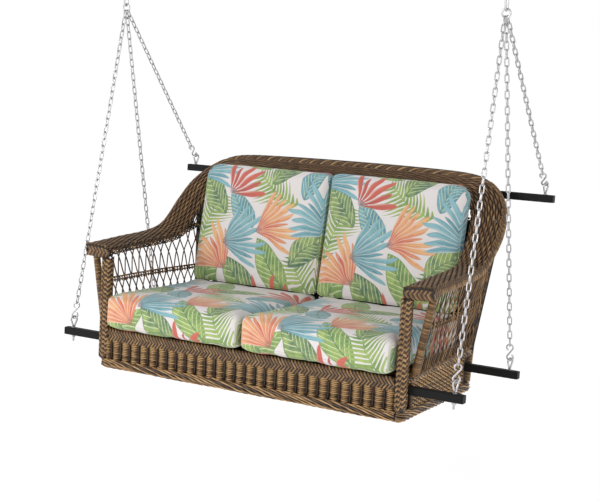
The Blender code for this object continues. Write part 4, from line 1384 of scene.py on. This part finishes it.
def fabric_material(name, words):
    """White cloth with a watercolour print of leaves and flowers."""
    made, graph, shader = new_material(name, Roughness=0.88, Sheen_Weight=0.12, Sheen_Roughness=0.5)
    place = graph.attribute("print", "Vector")
    groups = {
        "leaf": motif_group("leaf", leaf, 9.0, 0.225),
        "frond": motif_group("frond", frond),
        "fan": motif_group("fan", fan, 10, 1.75, 1.25),
        "petals": motif_group("petals", fan, 6, 2.0, 0.86),
    }
    wash = graph.noise(place, 22.0, 4.0, 0.62)
    fine = graph.noise(place, 110.0)
    u, v, _ = graph.split(place)
    u = u + graph.noise(place, 9.0, 1.0).scaled(0.030, -0.015)
    v = v + graph.noise(place, 8.0, 1.0).scaled(0.030, -0.015)
    colour = GROUND
    for motif, across, up, angle, size, first, second in words:
        c, s = math.cos(angle) / size, math.sin(angle) / size
        values = {
            "Under": colour, "Wash": wash, "Fine": fine, "First": first, "Second": second,
            "X": u.scaled(c, v.scaled(s, -across * c - up * s)),
            "Y": u.scaled(-s, v.scaled(c, across * s - up * c)),
        }
        colour = graph.add("Group", values, "Over", node_tree=groups[motif])
    slub = graph.noise(graph.stretched(place, (260.0, 2400.0, 1.0)), 1.0)
    colour = graph.mix(0.10, colour, graph.mix(slub, (0.55, 0.55, 0.55, 1), (1, 1, 1, 1)), "MULTIPLY")
    graph.put(shader.inputs["Base Color"], graph.mix(0.08, colour, (0.80, 0.79, 0.78, 1)))
    across, along, _ = graph.split(graph.stretched(place, (2400.0, 2400.0, 1.0)))
    add_bump(graph, shader, across.math("SINE") * along.math("SINE") + slub, 0.18, 0.0004)
    return made


SEAT_FABRIC = fabric_material("seat_print_cloth", half_drop(5, 0.01))
BACK_FABRIC = fabric_material("back_print_cloth", half_drop(8, 0.0))

# ---- build everything

make_front_apron()
make_rim()
make_rear_apron()
make_side_aprons()
make_posts()
make_deck()
make_lattice()
make_cap_weave()
make_cap_border()
make_arm_details()
make_back_panel()
for side, sign in (("right", 1), ("left", -1)):
    make_top_link(side, sign)
    make_suspension(side, sign)
    make_nut(side)
finish_frame_metal()
make_cushions()

# ---- camera, stage and light


def make_camera():
    camera = bpy.data.cameras.new("camera")
    camera.lens, camera.sensor_width = 72.62, 36.0
    camera.clip_end = 50.0
    holder = bpy.data.objects.new("camera", camera)
    bpy.context.scene.collection.objects.link(holder)
    holder.location = (2.1506, -3.8577, -0.0222)
    azimuth, elevation = math.radians(29.155), math.radians(12.62)
    direction = Vector((-math.sin(azimuth) * math.cos(elevation), math.cos(azimuth) * math.cos(elevation),
                        -math.sin(elevation)))
    holder.rotation_euler = direction.to_track_quat("-Z", "Y").to_euler()
    bpy.context.scene.camera = holder


def make_light(name, place, target, size, power, colour=(1, 1, 1)):
    lamp = bpy.data.lights.new(name, "AREA")
    lamp.shape, lamp.size, lamp.energy, lamp.color = "DISK", size, power, colour
    holder = bpy.data.objects.new(name, lamp)
    bpy.context.scene.collection.objects.link(holder)
    holder.location = place
    holder.rotation_euler = (Vector(target) - Vector(place)).to_track_quat("-Z", "Y").to_euler()


def make_stage():
    scene = bpy.context.scene
    scene.view_settings.view_transform = "Standard"
    world = bpy.data.worlds.new("studio")
    world.use_nodes = True
    graph = Graph(world.node_tree)
    height = graph.split(graph.add("TexCoord", (), "Generated"))[2]
    sky = graph.ramp(height.scaled(0.5, 0.5),
                     [(0.0, (1, 1, 1)), (0.56, (1, 1, 1)), (0.80, (0.55, 0.55, 0.56))])
    graph.put(world.node_tree.nodes["Background"].inputs["Color"], sky)
    graph.put(world.node_tree.nodes["Background"].inputs["Strength"], 1.0)
    scene.world = world
    mesh = bpy.data.meshes.new("floor")
    mesh.from_pydata([(-9, -9, -2.3), (9, -9, -2.3), (9, 9, -2.3), (-9, 9, -2.3)], [], [(0, 1, 2, 3)])
    made, graph, shader = new_material("floor", Roughness=0.9, Emission_Strength=0.45)
    shader.inputs["Base Color"].default_value = (0.90, 0.90, 0.90, 1)
    shader.inputs["Emission Color"].default_value = (1, 1, 1, 1)
    mesh.materials.append(made)
    floor = bpy.data.objects.new("floor", mesh)
    scene.collection.objects.link(floor)
    make_light("key", (-1.8, -3.4, 0.6), (0, 0, -1.0), 1.2, 60)
    make_light("fill", (3.0, -2.0, 0.2), (0, 0, -1.0), 1.8, 16)


make_camera()
make_stage()
